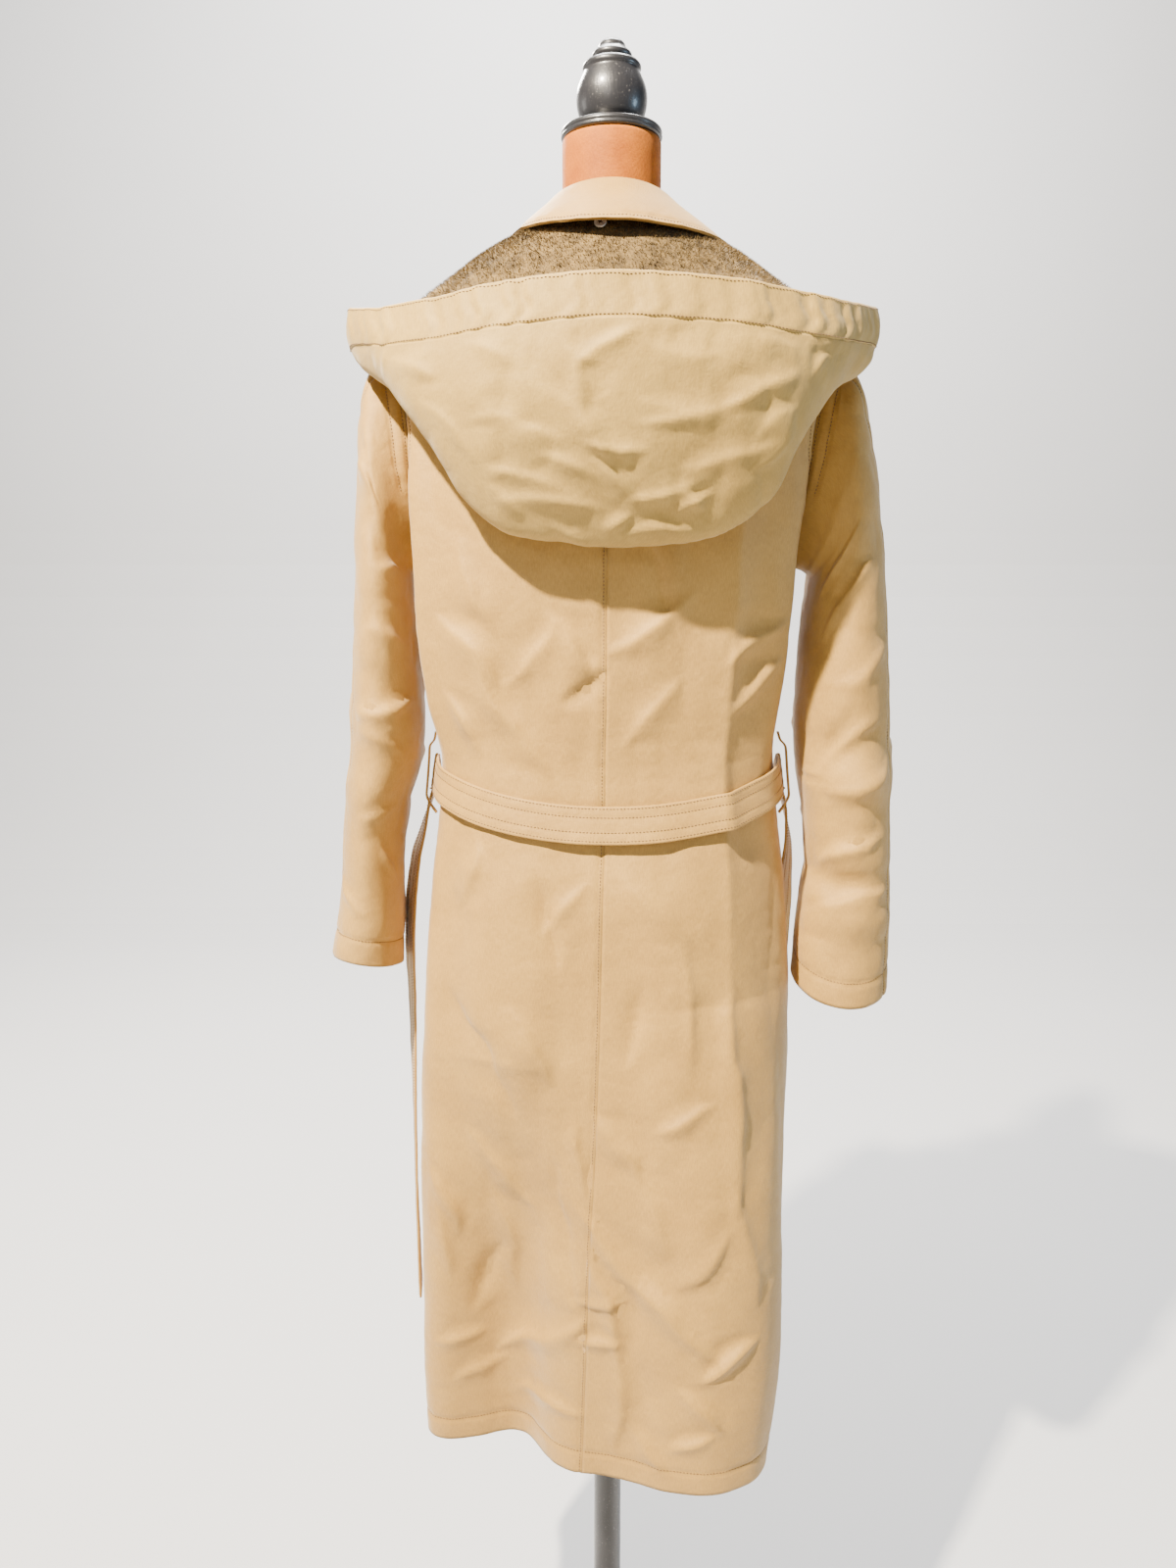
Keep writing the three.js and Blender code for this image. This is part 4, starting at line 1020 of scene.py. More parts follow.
# Hood.
HOOD_WALL = 1.6
PILE_DEPTH = 5
HOOD_ROUND = 7
CASING = 34
CASING_GAP = 2.2
HOOD = curves(
    table(
        "angle neckZ restZ bottomX bottomY bottomZ rimX rimY rimZ belly",
        [-128, 1500, 1462, -142, -84, 1441, -146, -96, 1456, 1],
        [-112, 1508, 1452, -190, -58, 1434, -192, -66, 1458, 2],
        [-98, 1512, 1449, -222, -28, 1436, -225, -28, 1466, 2],
        [-88, 1514, 1449, -234, 12, 1430, -240, 20, 1468, 3],
        [-78, 1515, 1449, -224, 56, 1412, -238, 52, 1466, 5],
        [-66, 1515, 1430, -190, 92, 1386, -222, 84, 1462, 9],
        [-52, 1516, 1385, -162, 116, 1344, -194, 118, 1459, 14],
        [-38, 1516, 1325, -130, 130, 1290, -154, 146, 1460, 18],
        [-22, 1517, 1295, -86, 138, 1263, -98, 172, 1464, 20],
        [0, 1517, 1285, -6, 142, 1252, 0, 187, 1467, 20],
        [22, 1517, 1295, 82, 138, 1262, 98, 170, 1461, 20],
        [38, 1516, 1325, 124, 130, 1289, 154, 142, 1455, 18],
        [52, 1516, 1385, 158, 116, 1341, 194, 112, 1455, 14],
        [66, 1515, 1430, 188, 92, 1384, 222, 80, 1460, 9],
        [78, 1515, 1449, 222, 56, 1412, 238, 50, 1466, 5],
        [88, 1514, 1449, 233, 12, 1430, 242, 18, 1468, 3],
        [98, 1512, 1449, 221, -28, 1436, 225, -28, 1466, 2],
        [112, 1508, 1452, 190, -58, 1434, 192, -66, 1458, 2],
        [128, 1500, 1462, 142, -84, 1441, 146, -96, 1456, 1],
    ),
    "angle",
)
HOOD_LIFT = ((0, 4), (0.14, 17), (0.4, 16), (0.7, 11), (1, 8))
HOOD_CLIMB = 17
HOOD_CREASES = (
    # x and z of both ends, bend, width, depth
    (27, 1397, -16, 1424, 3, 8, 4.4),
    (38, 1407, 18, 1394, 2, 6, 2.6),
    (31, 1396, 25, 1360, 3, 8, 4.2),
    (25, 1360, 4, 1322, 3, 9, 4.0),
    (19, 1335, -22, 1325, 3, 7, 4.0),
    (-22, 1366, -58, 1353, 4, 12, 2.8),
    (54, 1376, 12, 1335, 5, 12, 3.2),
    (-26, 1353, -99, 1371, -6, 11, 4.0),
    (-99, 1371, -143, 1395, -4, 10, 4.0),
    (-118, 1340, -148, 1364, 3, 10, 3.6),
    (-63, 1317, -124, 1336, -5, 9, 2.8),
    (19, 1321, -15, 1292, 4, 8, 3.6),
    (-15, 1292, -66, 1307, -5, 9, 3.8),
    (55, 1323, 19, 1308, 4, 8, 2.6),
    (102, 1312, 50, 1297, 5, 9, 3.6),
    (86, 1288, 19, 1281, 5, 9, 3.4),
    (-53, 1277, -83, 1294, 4, 8, 3.8),
    (5, 1263, -15, 1273, 2, 7, 3.6),
    (-13, 1258, -68, 1264, 4, 7, 3.4),
    (117, 1353, 49, 1337, 6, 11, 3.0),
    (-63, 1296, -76, 1283, 2, 5, 3.6),
    (185, 1407, 153, 1392, 3, 10, 3.0),
    (-147, 1358, -118, 1316, 6, 9, 4.2),
    (117, 1415, 81, 1396, 4, 9, 2.6),
    (20, 1252, 52, 1265, 2, 6, 3.0),
    (101, 1298, 77, 1278, 3, 8, 3.4),
    (-99, 1428, -143, 1416, 4, 9, 2.4),
    (-167, 1396, -183, 1410, 2, 7, 3.0),
    (-31, 1413, -79, 1405, -4, 10, 2.4),
    (156, 1362, 116, 1322, 5, 9, 3.0),
)


def catmull_rom(points, count=360):
    """A centripetal curve through rows of points, sampled evenly along its length."""
    padded = [2 * points[0] - points[1], *points, 2 * points[-1] - points[-2]]
    samples = []
    for p0, p1, p2, p3 in zip(padded, padded[1:], padded[2:], padded[3:]):
        d0, d1, d2 = (max(np.linalg.norm(b - a) ** 0.5, 1e-4) for a, b in ((p0, p1), (p1, p2), (p2, p3)))
        t1 = ((p1 - p0) / d0 - (p2 - p0) / (d0 + d1) + (p2 - p1) / d1) * d1
        t2 = ((p2 - p1) / d1 - (p3 - p1) / (d1 + d2) + (p3 - p2) / d2) * d1
        s = np.linspace(0, 1, 40, endpoint=False)[:, None]
        shape = (
            p1 * (2 * s**3 - 3 * s**2 + 1)
            + t1 * (s**3 - 2 * s**2 + s)
            + p2 * (3 * s**2 - 2 * s**3)
            + t2 * (s**3 - s**2)
        )
        samples.append(shape)
    line = np.concatenate([*samples, points[-1][None]])
    way = np.concatenate([[0], np.cumsum(np.linalg.norm(np.diff(line, axis=0), axis=1))])
    even = np.linspace(0, way[-1], count)
    return np.stack([np.interp(even, way, line[:, i]) for i in range(3)], axis=1), way[-1]


def bare_coat(angle, z):
    return coat(np.asarray(angle, float), np.asarray(z, float), 0)


def hood_section(degrees):
    at = {name: float(column(degrees)) for name, column in HOOD.items()}
    angle = degrees * RAD
    settle = lerp(1, 0.6, smooth(abs(degrees), 85, 120))
    points = []
    for share, lift in HOOD_LIFT:
        z = lerp(at["neckZ"], at["restZ"], share)
        outward = normal_of(bare_coat, angle, z, 0.002, 1)
        bunch = 0.3 * smooth(abs(degrees), 25, 70) * math.sin(math.pi * share**0.6)
        points.append(bare_coat(angle, z) + outward * lift * (1 + bunch) * settle)
    points[0] = points[0] + xyz(0, 0, HOOD_CLIMB * (1 - smooth(abs(degrees), 55, 90)))
    bottom = np.array([at["bottomX"], at["bottomY"], at["bottomZ"]])
    rim = np.array([at["rimX"], at["rimY"], at["rimZ"]])
    away = unit(np.array([rim[0] / 2, rim[1] + 20, 0]) if abs(degrees) <= 90 else rim * [1, 1, 0])
    points.append(bottom)
    for k in (0.12, 0.4, 0.7):
        swell = HOOD_ROUND * (1 - k) + at["belly"] * math.sin(math.pi * k)
        points.append(lerp(bottom, rim, k) + away * swell)
    points.append(rim)
    return catmull_rom(points)


HOOD_DEGREES = np.linspace(-128, 128, 301)
HOOD_LINES, HOOD_LENGTHS = zip(*(hood_section(degrees) for degrees in HOOD_DEGREES))
HOOD_LINES = np.array(HOOD_LINES)
HOOD_LENGTHS = np.array(HOOD_LENGTHS)
CASING_START = 1 - np.minimum(CASING / HOOD_LENGTHS, 0.35)
SHELL_END = CASING_START - CASING_GAP / HOOD_LENGTHS


def hood_grid(start, end, stations):
    """The hood's surface from share start to share end of its length, at the stations 0 to 1."""
    grid = []
    number = np.arange(HOOD_LINES.shape[1])
    for line, a, b in zip(HOOD_LINES, *np.broadcast_arrays(start, end, HOOD_LENGTHS)[:2]):
        at = lerp(a, b, stations) * (len(number) - 1)
        grid.append(np.stack([np.interp(at, number, line[:, i]) for i in range(3)], axis=1))
    return np.array(grid).transpose(1, 0, 2)


def hood_cloth(points):
    cloth = Cloth(points, 1)
    rows = points.shape[0]
    outer = cloth.normals[int(rows * 0.75) :, points.shape[1] // 3 : -points.shape[1] // 3, 1]
    return cloth if outer.mean() > 0 else Cloth(points, -1)


def hood_relief(cloth):
    """The hood's folds: creases outside, gathers under the casing, and still edges."""
    x, y, z = (cloth.points[..., i] for i in range(3))
    away = cloth.away
    outside = smooth(STATIONS, 0.47, 0.56)[:, None] * smooth(y, 20, 80)
    uneven = 1.5 * noise(cloth.points, 64, 11) + 1.3 * rumple(cloth.points, 36, 12)
    uneven = uneven + 0.3 * rumple(cloth.points, 15, 13)
    relief = 0.85 * creases(HOOD_CREASES, x, z) * outside + uneven * (0.45 + 0.55 * outside)
    relief = relief + 1.9 * np.exp(-away["top"] / 16) * noise(xyz(away["first"], 0, 0), 8, 14)
    calm = smooth(away["first"], 0, 30) * smooth(away["last"], 0, 30)
    relief = relief * (0.3 + 0.7 * calm) * smooth(away["bottom"], 0, 20)
    return relief * (0.1 + 0.9 * smooth(away["top"], 2, 14))


STATIONS = np.linspace(0, 1, 190)
HOOD_BASE = hood_cloth(hood_grid(0, SHELL_END, STATIONS))
HOOD_RELIEF = hood_relief(HOOD_BASE)
HOOD_CLOTH = Cloth(HOOD_BASE.points, HOOD_BASE.outward)
HOOD_CLOTH.lift(HOOD_RELIEF + HOOD_WALL)
piece = shell("hood_cloth", HOOD_CLOTH, HOOD_COTTON, "hood_shell", HOOD_WALL, 4)

LINING_ROWS = np.arange(0, len(STATIONS), 2)
LINING_COLUMNS = np.arange(0, len(HOOD_DEGREES), 2)
pile_room = PILE_DEPTH * lerp(1, 0.3, smooth(np.abs(HOOD_DEGREES), 60, 80))
mat = HOOD_BASE.points + HOOD_BASE.normals * (np.minimum(HOOD_RELIEF, 0.6) - SEAM - 0.6)[..., None]
mat = mat[np.ix_(LINING_ROWS, LINING_COLUMNS)]
room = pile_room[LINING_COLUMNS][None, :] + 0 * mat[..., 0]
LINING = Cloth(mat, -HOOD_CLOTH.outward)
tuft = 0.5 + 0.5 * noise(LINING.points, 5, 15)
LINING.lift((room - 2.2) * (0.55 + 0.25 * tuft))
piece = shell("hood_pile", LINING, PILE, "hood_lining", 1.0, 3)

PILE_SEAM = -15


def pile_strands(cloth, count, seed):
    """Short tufts of pile, thickest where the hood lies open."""
    random = np.random.default_rng(seed)
    rows, columns = cloth.points.shape[:2]
    deep = random.random(count) ** 1.6
    share = np.where(random.random(count) < 0.25, 1 - 0.16 * random.random(count), 0.5 * deep)
    i, j = share * (rows - 1), random.random(count) * (columns - 1)
    points, normals = cloth.at(i, j)
    degrees = np.interp(j, np.arange(columns), HOOD_DEGREES[LINING_COLUMNS])
    length = (2.4 + 1.3 * random.random(count)) * lerp(1, 0.35, smooth(np.abs(degrees), 60, 80))
    length *= 1 - 0.6 * np.exp(-(((points[:, 0] - PILE_SEAM) / 2.4) ** 2))
    lean = unit(random.normal(size=(count, 3)) + np.array([0, 0, -0.9]))
    tip = points + unit(normals + 0.55 * lean) * length[:, None]
    side = unit(np.cross(normals, random.normal(size=(count, 3)))) * 0.34
    root = points - normals * 0.4
    vertices = np.stack([root - side, root + side, tip], axis=1).reshape(-1, 3)
    faces = np.arange(3 * count).reshape(-1, 3).tolist()
    return vertices, faces


strands, strand_faces = pile_strands(LINING, 90000, 3)
make("hood_pile_tufts", strands, strand_faces, PILE)

CASING_INSIDE = 2.5
CASING_OUTSIDE = HOOD_WALL + 0.6


def strip(name, surface, outward, ring, material, node, uv_width):
    """A closed strip: surface is rows of middle lines, ring the (row, height) of its section."""
    columns = surface.shape[1]
    section = []
    for row, height in ring:
        low = int(min(max(math.floor(row), 0), surface.shape[0] - 2))
        point = lerp(surface[low], surface[low + 1], row - low)
        normal = unit(lerp(outward[low], outward[low + 1], row - low))
        section.append(point + normal * np.broadcast_to(height, columns)[:, None])
    points = np.array(section)
    sides = len(section)
    faces = []
    for k in range(sides):
        for j in range(columns - 1):
            a, b = k * columns + j, ((k + 1) % sides) * columns + j
            faces.append([a, a + 1, b + 1, b])
    caps = [[k * columns for k in range(sides)], [k * columns + columns - 1 for k in range(sides)][::-1]]
    way = np.concatenate([[0], np.cumsum(np.linalg.norm(np.diff(points[0], axis=0), axis=1))])
    across = np.array([row for row, _ in ring]) / (surface.shape[0] - 1) * uv_width
    uv = np.stack(np.broadcast_arrays(way[None, :], across[:, None]), axis=-1).reshape(-1, 2)
    edge = np.abs(across / uv_width - 0.5) * 2
    wear = np.repeat(np.clip((edge - 0.8) * 3, 0, 1), columns)
    return make(name, points.reshape(-1, 3), faces + caps, material, node, 2, uv, wear)


def rounded(rows, low, high, count, radius):
    """A flat section's ring of (row, height), with rounded long edges of that radius in rows."""
    half, middle = (high - low) / 2, (high + low) / 2
    first, last = radius, rows - 1 - radius
    turns = np.linspace(math.pi / 2, -math.pi / 2, 7)[1:-1]
    edge = [(radius * math.cos(t), middle + half * math.sin(t)) for t in turns]
    ring = [(row, high) for row in np.linspace(first, last, count)]
    ring += [(last + out, height) for out, height in edge]
    ring += [(row, low) for row in np.linspace(last, first, max(count // 2, 3))]
    ring += [(first - out, height) for out, height in edge[::-1]]
    return ring


RIM_ROWS = 15
RIM_START = CASING_START - (CASING_GAP + 1.5) / HOOD_LENGTHS
RIM = hood_cloth(hood_grid(RIM_START, 1.0, np.linspace(0, 1, RIM_ROWS)))
way = RIM.away["first"]
gathered = noise(xyz(way, 0, 0), 9, 16) + 0.5 * noise(xyz(way, 40, 0), 4.5, 17)
bulge = np.sin(np.linspace(0, math.pi, RIM_ROWS))[:, None] ** 0.6
RIM.lift(gathered * bulge * 1.8 + 0.5 * noise(RIM.points, 40, 18))
ring = rounded(RIM_ROWS, -CASING_INSIDE, CASING_OUTSIDE, 14, 0.9)
piece = strip("hood_casing_cloth", RIM.points, RIM.normals, ring, HOOD_COTTON, "hood_casing", CASING)
rim_face = Cloth(RIM.points + RIM.normals * CASING_OUTSIDE, RIM.outward)
hood_paths = [rim_face.line("top", 3.2), rim_face.line("bottom", 2.5), HOOD_CLOTH.line("bottom", 9)]
sew("hood_stitching", hood_paths, THREAD_DARKENED_AS_SHADE)

# Belt.
BELT_WIDTH = 35
BELT_WALL = 2.6
BELT_LOW = 997
BELT_SAG = 34
BELT_LIFT = 2
BELT_STAND = 3.5
BELT_END = 92
BELT_ROWS = 15
BELT_STITCHES = (2.2, 10.5, 24.5, 32.8)


def band(angle, across):
    share = np.minimum(np.abs(angle) / (math.pi / 2), 1)
    middle = BELT_LOW + BELT_SAG * np.sin(share * math.pi / 2) ** 2.2
    outward = normal_of(coat, angle, middle, 0.002, 1) * np.array([1, 1, 0])
    outward = unit(outward)
    z = middle + BELT_WIDTH * (0.5 - across)
    point = coat(angle, z)
    lower = coat(angle, middle - BELT_WIDTH / 2)
    flare = np.maximum(0, np.sum((lower - point) * outward, axis=-1))
    off = BELT_LIFT + BELT_WALL + BELT_STAND * across + 0.2 * flare
    return point + outward * off[..., None]


angle, across = np.broadcast_arrays(
    np.linspace(-BELT_END * RAD, BELT_END * RAD, 260)[None, :], np.linspace(0, 1, BELT_ROWS)[:, None]
)
BAND = facing(band(angle, across), [0, 1, 0])


def quilted(cloth, seed):
    """Stitched rows sink, and the cloth between them swells and puckers a little."""
    across = cloth.away["bottom"]
    height = 0.35 * noise(cloth.points, 22, seed) + 0.2 * noise(cloth.points, 7, seed + 1)
    for distance in BELT_STITCHES:
        height = height - 0.45 * np.exp(-(((across - distance) / 1.7) ** 2))
    cloth.lift(height)
    return cloth


BAND = quilted(BAND, 30)
BELT_RING = rounded(BELT_ROWS, -BELT_WALL, 0, 15, 0.55)
piece = strip("belt_band", BAND.points, BAND.normals, BELT_RING, COTTON, "belt_back", BELT_WIDTH)
belt_paths = [BAND.line("bottom", distance) for distance in BELT_STITCHES]

TAIL_NAMES = "drop x y yaw"
TAILS = {
    "left": table(
        TAIL_NAMES,
        [20, 184, -28, 0],
        [45, 191, -28, 10],
        [80, 201, -27, 20],
        [130, 208, -26, 24],
        [180, 210, -25, 22],
        [250, 209, -24, 18],
        [330, 209, -22, 13],
        [430, 209, -20, 9],
        [510, 208, -18, 7],
        [575, 207, -17, 5],
    ),
    "right": table(
        TAIL_NAMES,
        [20, 180, -28, 0],
        [45, 185, -33, 8],
        [80, 189, -43, 22],
        [130, 189, -56, 36],
        [180, 187, -66, 44],
        [250, 184, -75, 48],
        [330, 182, -81, 50],
        [430, 180, -85, 48],
        [510, 179, -87, 46],
        [575, 178, -87, 45],
    ),
}
FAN_ROOM = 3


def tail_points(name, across, station):
    side = 1 if name == "left" else -1
    rows = TAILS[name]
    number = np.arange(1, len(rows["drop"]) + 1, dtype=float)
    end = side * BELT_END * RAD
    upper, lower = band(np.array([end, end]), np.array([0.0, 1.0]))
    start_y = min(upper[1], lower[1]) - SEAM
    turn = np.clip(station, 0, 1) * math.pi / 2
    reach = (1 - across) * BELT_WIDTH + FAN_ROOM
    fan = xyz(
        lerp(upper[0], lower[0], across),
        start_y - reach * np.sin(turn),
        lower[2] - FAN_ROOM + reach * np.cos(turn),
    )
    at = {key: curve(number, rows[key])(station) for key in ("x", "y", "yaw")}
    drop = np.interp(station, number, rows["drop"])
    offset = (across - 0.5) * BELT_WIDTH
    hanging = xyz(
        side * (at["x"] - np.sin(at["yaw"] * RAD) * offset),
        at["y"] + np.cos(at["yaw"] * RAD) * offset,
        lower[2] + 5 - drop,
    )
    return np.where((station <= 1)[..., None], fan, hanging)


def tail_piece(name):
    stations = np.concatenate([np.linspace(0, 1, 24)[:-1], np.linspace(1, 10, 230)])
    across, station = np.broadcast_arrays(np.linspace(0, 1, BELT_ROWS)[:, None], stations[None, :])
    side = 1 if name == "left" else -1
    cloth = facing(tail_points(name, across, station), [side, 0, 0])
    cloth = Cloth(cloth.points + cloth.normals * BELT_WALL, cloth.outward)
    cloth = quilted(cloth, 33 + side)
    node = f"belt_tail_{name}"
    piece = strip(f"{node}_cloth", cloth.points, cloth.normals, BELT_RING, COTTON, node, BELT_WIDTH)
    return [cloth.line("bottom", distance) for distance in BELT_STITCHES]


for side in ("left", "right"):
    belt_paths += tail_piece(side)
sew("belt_stitching", belt_paths, THREAD_DARKENED_AS_SHADE)

LOOP_WIDTH = 6
LOOP_WALL = 2
LOOP_BEHIND = 6
LOOP_PATH = np.array(
    [[1072, 0.4], [1064, 3.5], [1056, 9.5], [1032, 11.5], [1010, 12], [1000, 8], [990, 0.6]]
)
for side, name in ((1, "left"), (-1, "right")):
    station = np.linspace(0, len(LOOP_PATH) - 1, 60)
    number = np.arange(len(LOOP_PATH), dtype=float)
    z = curve(number, LOOP_PATH[:, 0])(station)
    out = curve(number, LOOP_PATH[:, 1])(station)
    foot = coat(np.full(len(z), side * math.pi / 2), z)
    across = np.linspace(0, 1, 5)[:, None]
    points = xyz(
        foot[None, :, 0] + side * (out + SEAM)[None, :],
        foot[None, :, 1] + LOOP_WIDTH * (across - 0.5) + LOOP_BEHIND,
        z[None, :],
    )
    cloth = facing(points, [side, 0, 0])
    node = f"belt_loop_{name}"
    ring = rounded(5, 0, LOOP_WALL, 5, 0.45)
    piece = strip(f"{node}_cloth", cloth.points, cloth.normals, ring, COTTON, node, LOOP_WIDTH)


# Dress form.
def form_mesh(name, rings, material, node):
    rings = np.array(rings)
    rows, sides = rings.shape[:2]
    points = np.concatenate([rings.reshape(-1, 3), rings[:1].mean(axis=1), rings[-1:].mean(axis=1)])
    faces = []
    for i in range(rows - 1):
        for j in range(sides):
            a, b = i * sides + j, i * sides + (j + 1) % sides
            faces.append([a, b, b + sides, a + sides])
    bottom, top = rows * sides, rows * sides + 1
    for j in range(sides):
        faces.append([(j + 1) % sides, j, bottom])
        last = (rows - 1) * sides
        faces.append([last + j, last + (j + 1) % sides, top])
    return make(name, points, faces, material, node)


TORSO_INSET = curve(
    np.array([790, 800, 840, 930, 1020, 1110, 1200, 1300, 1380, 1425, 1442, 1452, 1468, 1525.0]),
    np.array([62, 46, 36, 32, 34, 34, 26, 18, 12, 7, 4, 2.6, WALL + SEAM + 0.3, WALL + SEAM + 0.3]),
)
FORM_SIDES = 96
ROUND = np.linspace(-math.pi, math.pi, FORM_SIDES, endpoint=False)
WAIST = 1045
TORSO_TOP = 1521


def torso_ring(z):
    levels = np.full(FORM_SIDES, float(z))
    outward = normal_of(bare_coat, ROUND, levels, 0.002, 1)
    folded = coat(ROUND, levels)
    spare = np.where(np.cos(ROUND) < 0, 1.2 * sunk(folded[:, 0]), 0)
    points = bare_coat(ROUND, levels) - outward * (TORSO_INSET(levels) + spare + 0.15)[:, None]
    if z < WAIST:
        points[:, 2] = z
    return points


torso_levels = [*np.linspace(790, 850, 8), *np.linspace(870, 1500, 44), 1508, 1515, TORSO_TOP]
torso_rings = [torso_ring(z) for z in torso_levels]
piece = form_mesh("form_torso_padded", torso_rings, COVER, "form_torso")

NECK_RADIUS = 46
NECK_TOP = 1622.5
NECK_FOOT = 0.16
top_ring = torso_ring(TORSO_TOP)
foot_ring = lerp(top_ring, top_ring.mean(axis=0), NECK_FOOT) + np.array([0, 0, SEAM])


def neck_circle(z):
    return xyz(NECK_RADIUS * np.sin(ROUND), NECK_RADIUS * np.cos(ROUND), z)


def neck_root(share, rise):
    return lerp(foot_ring, neck_circle(foot_ring[:, 2]), share) + np.array([0, 0, rise])


neck_rings = [foot_ring, neck_root(0.35, 2.5), neck_root(0.6, 6), neck_root(0.85, 11), neck_root(1, 16)]
neck_rings += [neck_circle(z + 0 * ROUND) for z in (1566, 1585, 1604, NECK_TOP - 3)]
neck_rings += [neck_circle(NECK_TOP + 0 * ROUND) * [0.985, 0.985, 1]]
piece = form_mesh("form_neck_covered", neck_rings, COVER, "form_neck")


def soften(profile, rounds=2):
    """Rounds a profile's corners and keeps its ends."""
    for _ in range(rounds):
        cut = [profile[0]]
        for a, b in zip(profile, profile[1:]):
            a, b = np.array(a, float), np.array(b, float)
            cut += [lerp(a, b, 0.22), lerp(a, b, 0.78)]
        profile = cut + [profile[-1]]
    return profile


def turned(name, profile, node):
    profile = soften(profile)
    sides = 72
    around = np.linspace(0, 2 * math.pi, sides, endpoint=False)
    rings = [xyz(max(r, 0.01) * np.cos(around), max(r, 0.01) * np.sin(around), z) for r, z in profile]
    return form_mesh(name, rings, WOOD, node)


CAP = NECK_TOP + SEAM
CAP_HEIGHT = 11
CAP_PROFILE = (
    (0, 0), (44, 0), (47, 2), (47, 4), (45.8, 5), (47, 6.5), (46, 9.5), (42, CAP_HEIGHT), (0, CAP_HEIGHT),
)
turned("neck_cap_turned", [(r, CAP + z) for r, z in CAP_PROFILE], "neck_cap")
FINIAL = CAP + CAP_HEIGHT + SEAM
FINIAL_PROFILE = (
    (0, 0), (23, 0), (25.5, 3), (30, 9), (32.5, 18), (33, 27), (31.5, 35), (28, 43), (25.5, 48), (27, 50),
    (27, 53), (24, 56), (16.5, 57.5), (18.5, 60), (18.5, 63), (15, 66), (13, 68), (12, 71.5), (8, 75),
    (0, 76.5),
)
turned("finial_turned", [(r, FINIAL + z) for r, z in FINIAL_PROFILE], "finial")
FOOT_RADIUS = 170
FOOT_TOP = FLOOR + 36
turned(
    "foot_turned",
    [
        (0, FLOOR), (FOOT_RADIUS - 4, FLOOR), (FOOT_RADIUS, FLOOR + 5), (FOOT_RADIUS, FLOOR + 11),
        (FOOT_RADIUS - 12, FLOOR + 18), (60, FLOOR + 25), (32, FOOT_TOP - 4), (24, FOOT_TOP), (0, FOOT_TOP),
    ],
    "foot",
)
POLE_RADIUS = 15
POLE_TOP = 790 - SEAM
turned(
    "pole_turned",
    [
        (0, FOOT_TOP + SEAM), (POLE_RADIUS + 4, FOOT_TOP + SEAM), (POLE_RADIUS + 4, FOOT_TOP + 8),
        (POLE_RADIUS, FOOT_TOP + 14), (POLE_RADIUS, POLE_TOP - 16), (POLE_RADIUS + 12, POLE_TOP - 8),
        (POLE_RADIUS + 12, POLE_TOP), (0, POLE_TOP),
    ],
    "pole",
)


# Buttons.
BUTTON_SIDES = 48
HOLE_SIDES = 10
BUTTON_PROFILE = (
    # shares of the radius and of the thickness
    (0, 0), (0.92, 0), (1, 0.35), (1, 0.8), (0.93, 1), (0.8, 1), (0.7, 0.72), (0, 0.7),
)
BLOCK_FACES = ([0, 1, 2, 3], [4, 7, 6, 5], [0, 4, 5, 1], [1, 5, 6, 2], [2, 6, 7, 3], [3, 7, 4, 0])


def button(name, place, outward, radius, thick, finish, node):
    """A four-hole button with a raised rim, sewn on with crossed thread; its holes are flat near-black
    discs of painted shade.
    """
    outward = unit(np.asarray(outward, float))
    right = unit(np.cross(outward, [0.3, 0.2, 1]))
    up = np.cross(outward, right)
    profile = soften([(radius * r, thick * h) for r, h in BUTTON_PROFILE])
    around = np.linspace(0, 2 * math.pi, BUTTON_SIDES, endpoint=False)
    points, faces, finishes = [], [], []
    for r, h in profile:
        ring = np.outer(np.cos(around), right) + np.outer(np.sin(around), up)
        points.append(place + ring * max(r, 0.01) + outward * (h + 2 * SEAM))
    for k in range(len(profile) - 1):
        for j in range(BUTTON_SIDES):
            a, b = k * BUTTON_SIDES + j, k * BUTTON_SIDES + (j + 1) % BUTTON_SIDES
            faces.append([a, b, b + BUTTON_SIDES, a + BUTTON_SIDES])
            finishes.append(0)
    count = len(profile) * BUTTON_SIDES
    hole = radius * 0.1
    face_height = thick * 0.7 + 2 * SEAM
    # Each hole is a flat disc just above the face in a near-black finish: painted shade in place of an open
    # hole.
    for sx, sy in ((1, 1), (1, -1), (-1, -1), (-1, 1)):
        centre = place + (right * sx + up * sy) * radius * 0.22 + outward * (face_height + 0.03)
        ring = np.linspace(0, 2 * math.pi, HOLE_SIDES, endpoint=False)
        points.append(centre + hole * (np.outer(np.cos(ring), right) + np.outer(np.sin(ring), up)))
        faces.append(list(range(count, count + HOLE_SIDES)))
        finishes.append(1)
        count += HOLE_SIDES
    for sx in (1, -1):
        for bar in (-0.5, 0.5):
            ends = [place + (right * sx * t + up * t) * radius * 0.24 for t in (-1, 1)]
            side = unit(ends[1] - ends[0])
            across = np.cross(outward, side) * radius * 0.05
            base = outward * (face_height + 0.1)
            shift = across * bar * 2
            high = outward * radius * 0.07
            block = [ends[0] - across + shift + base, ends[0] + across + shift + base]
            block += [ends[1] + across + shift + base, ends[1] - across + shift + base]
            points.append(np.array(block + [p + high for p in block]))
            for face in BLOCK_FACES:
                faces.append([count + v for v in face])
                finishes.append(2)
            count += 8
    piece = make(name, np.concatenate(points), faces, [finish, HOLE_PAINTED_SHADE, THREAD_DARKENED_AS_SHADE], node)
    piece.data.polygons.foreach_set("material_index", finishes)
    return piece
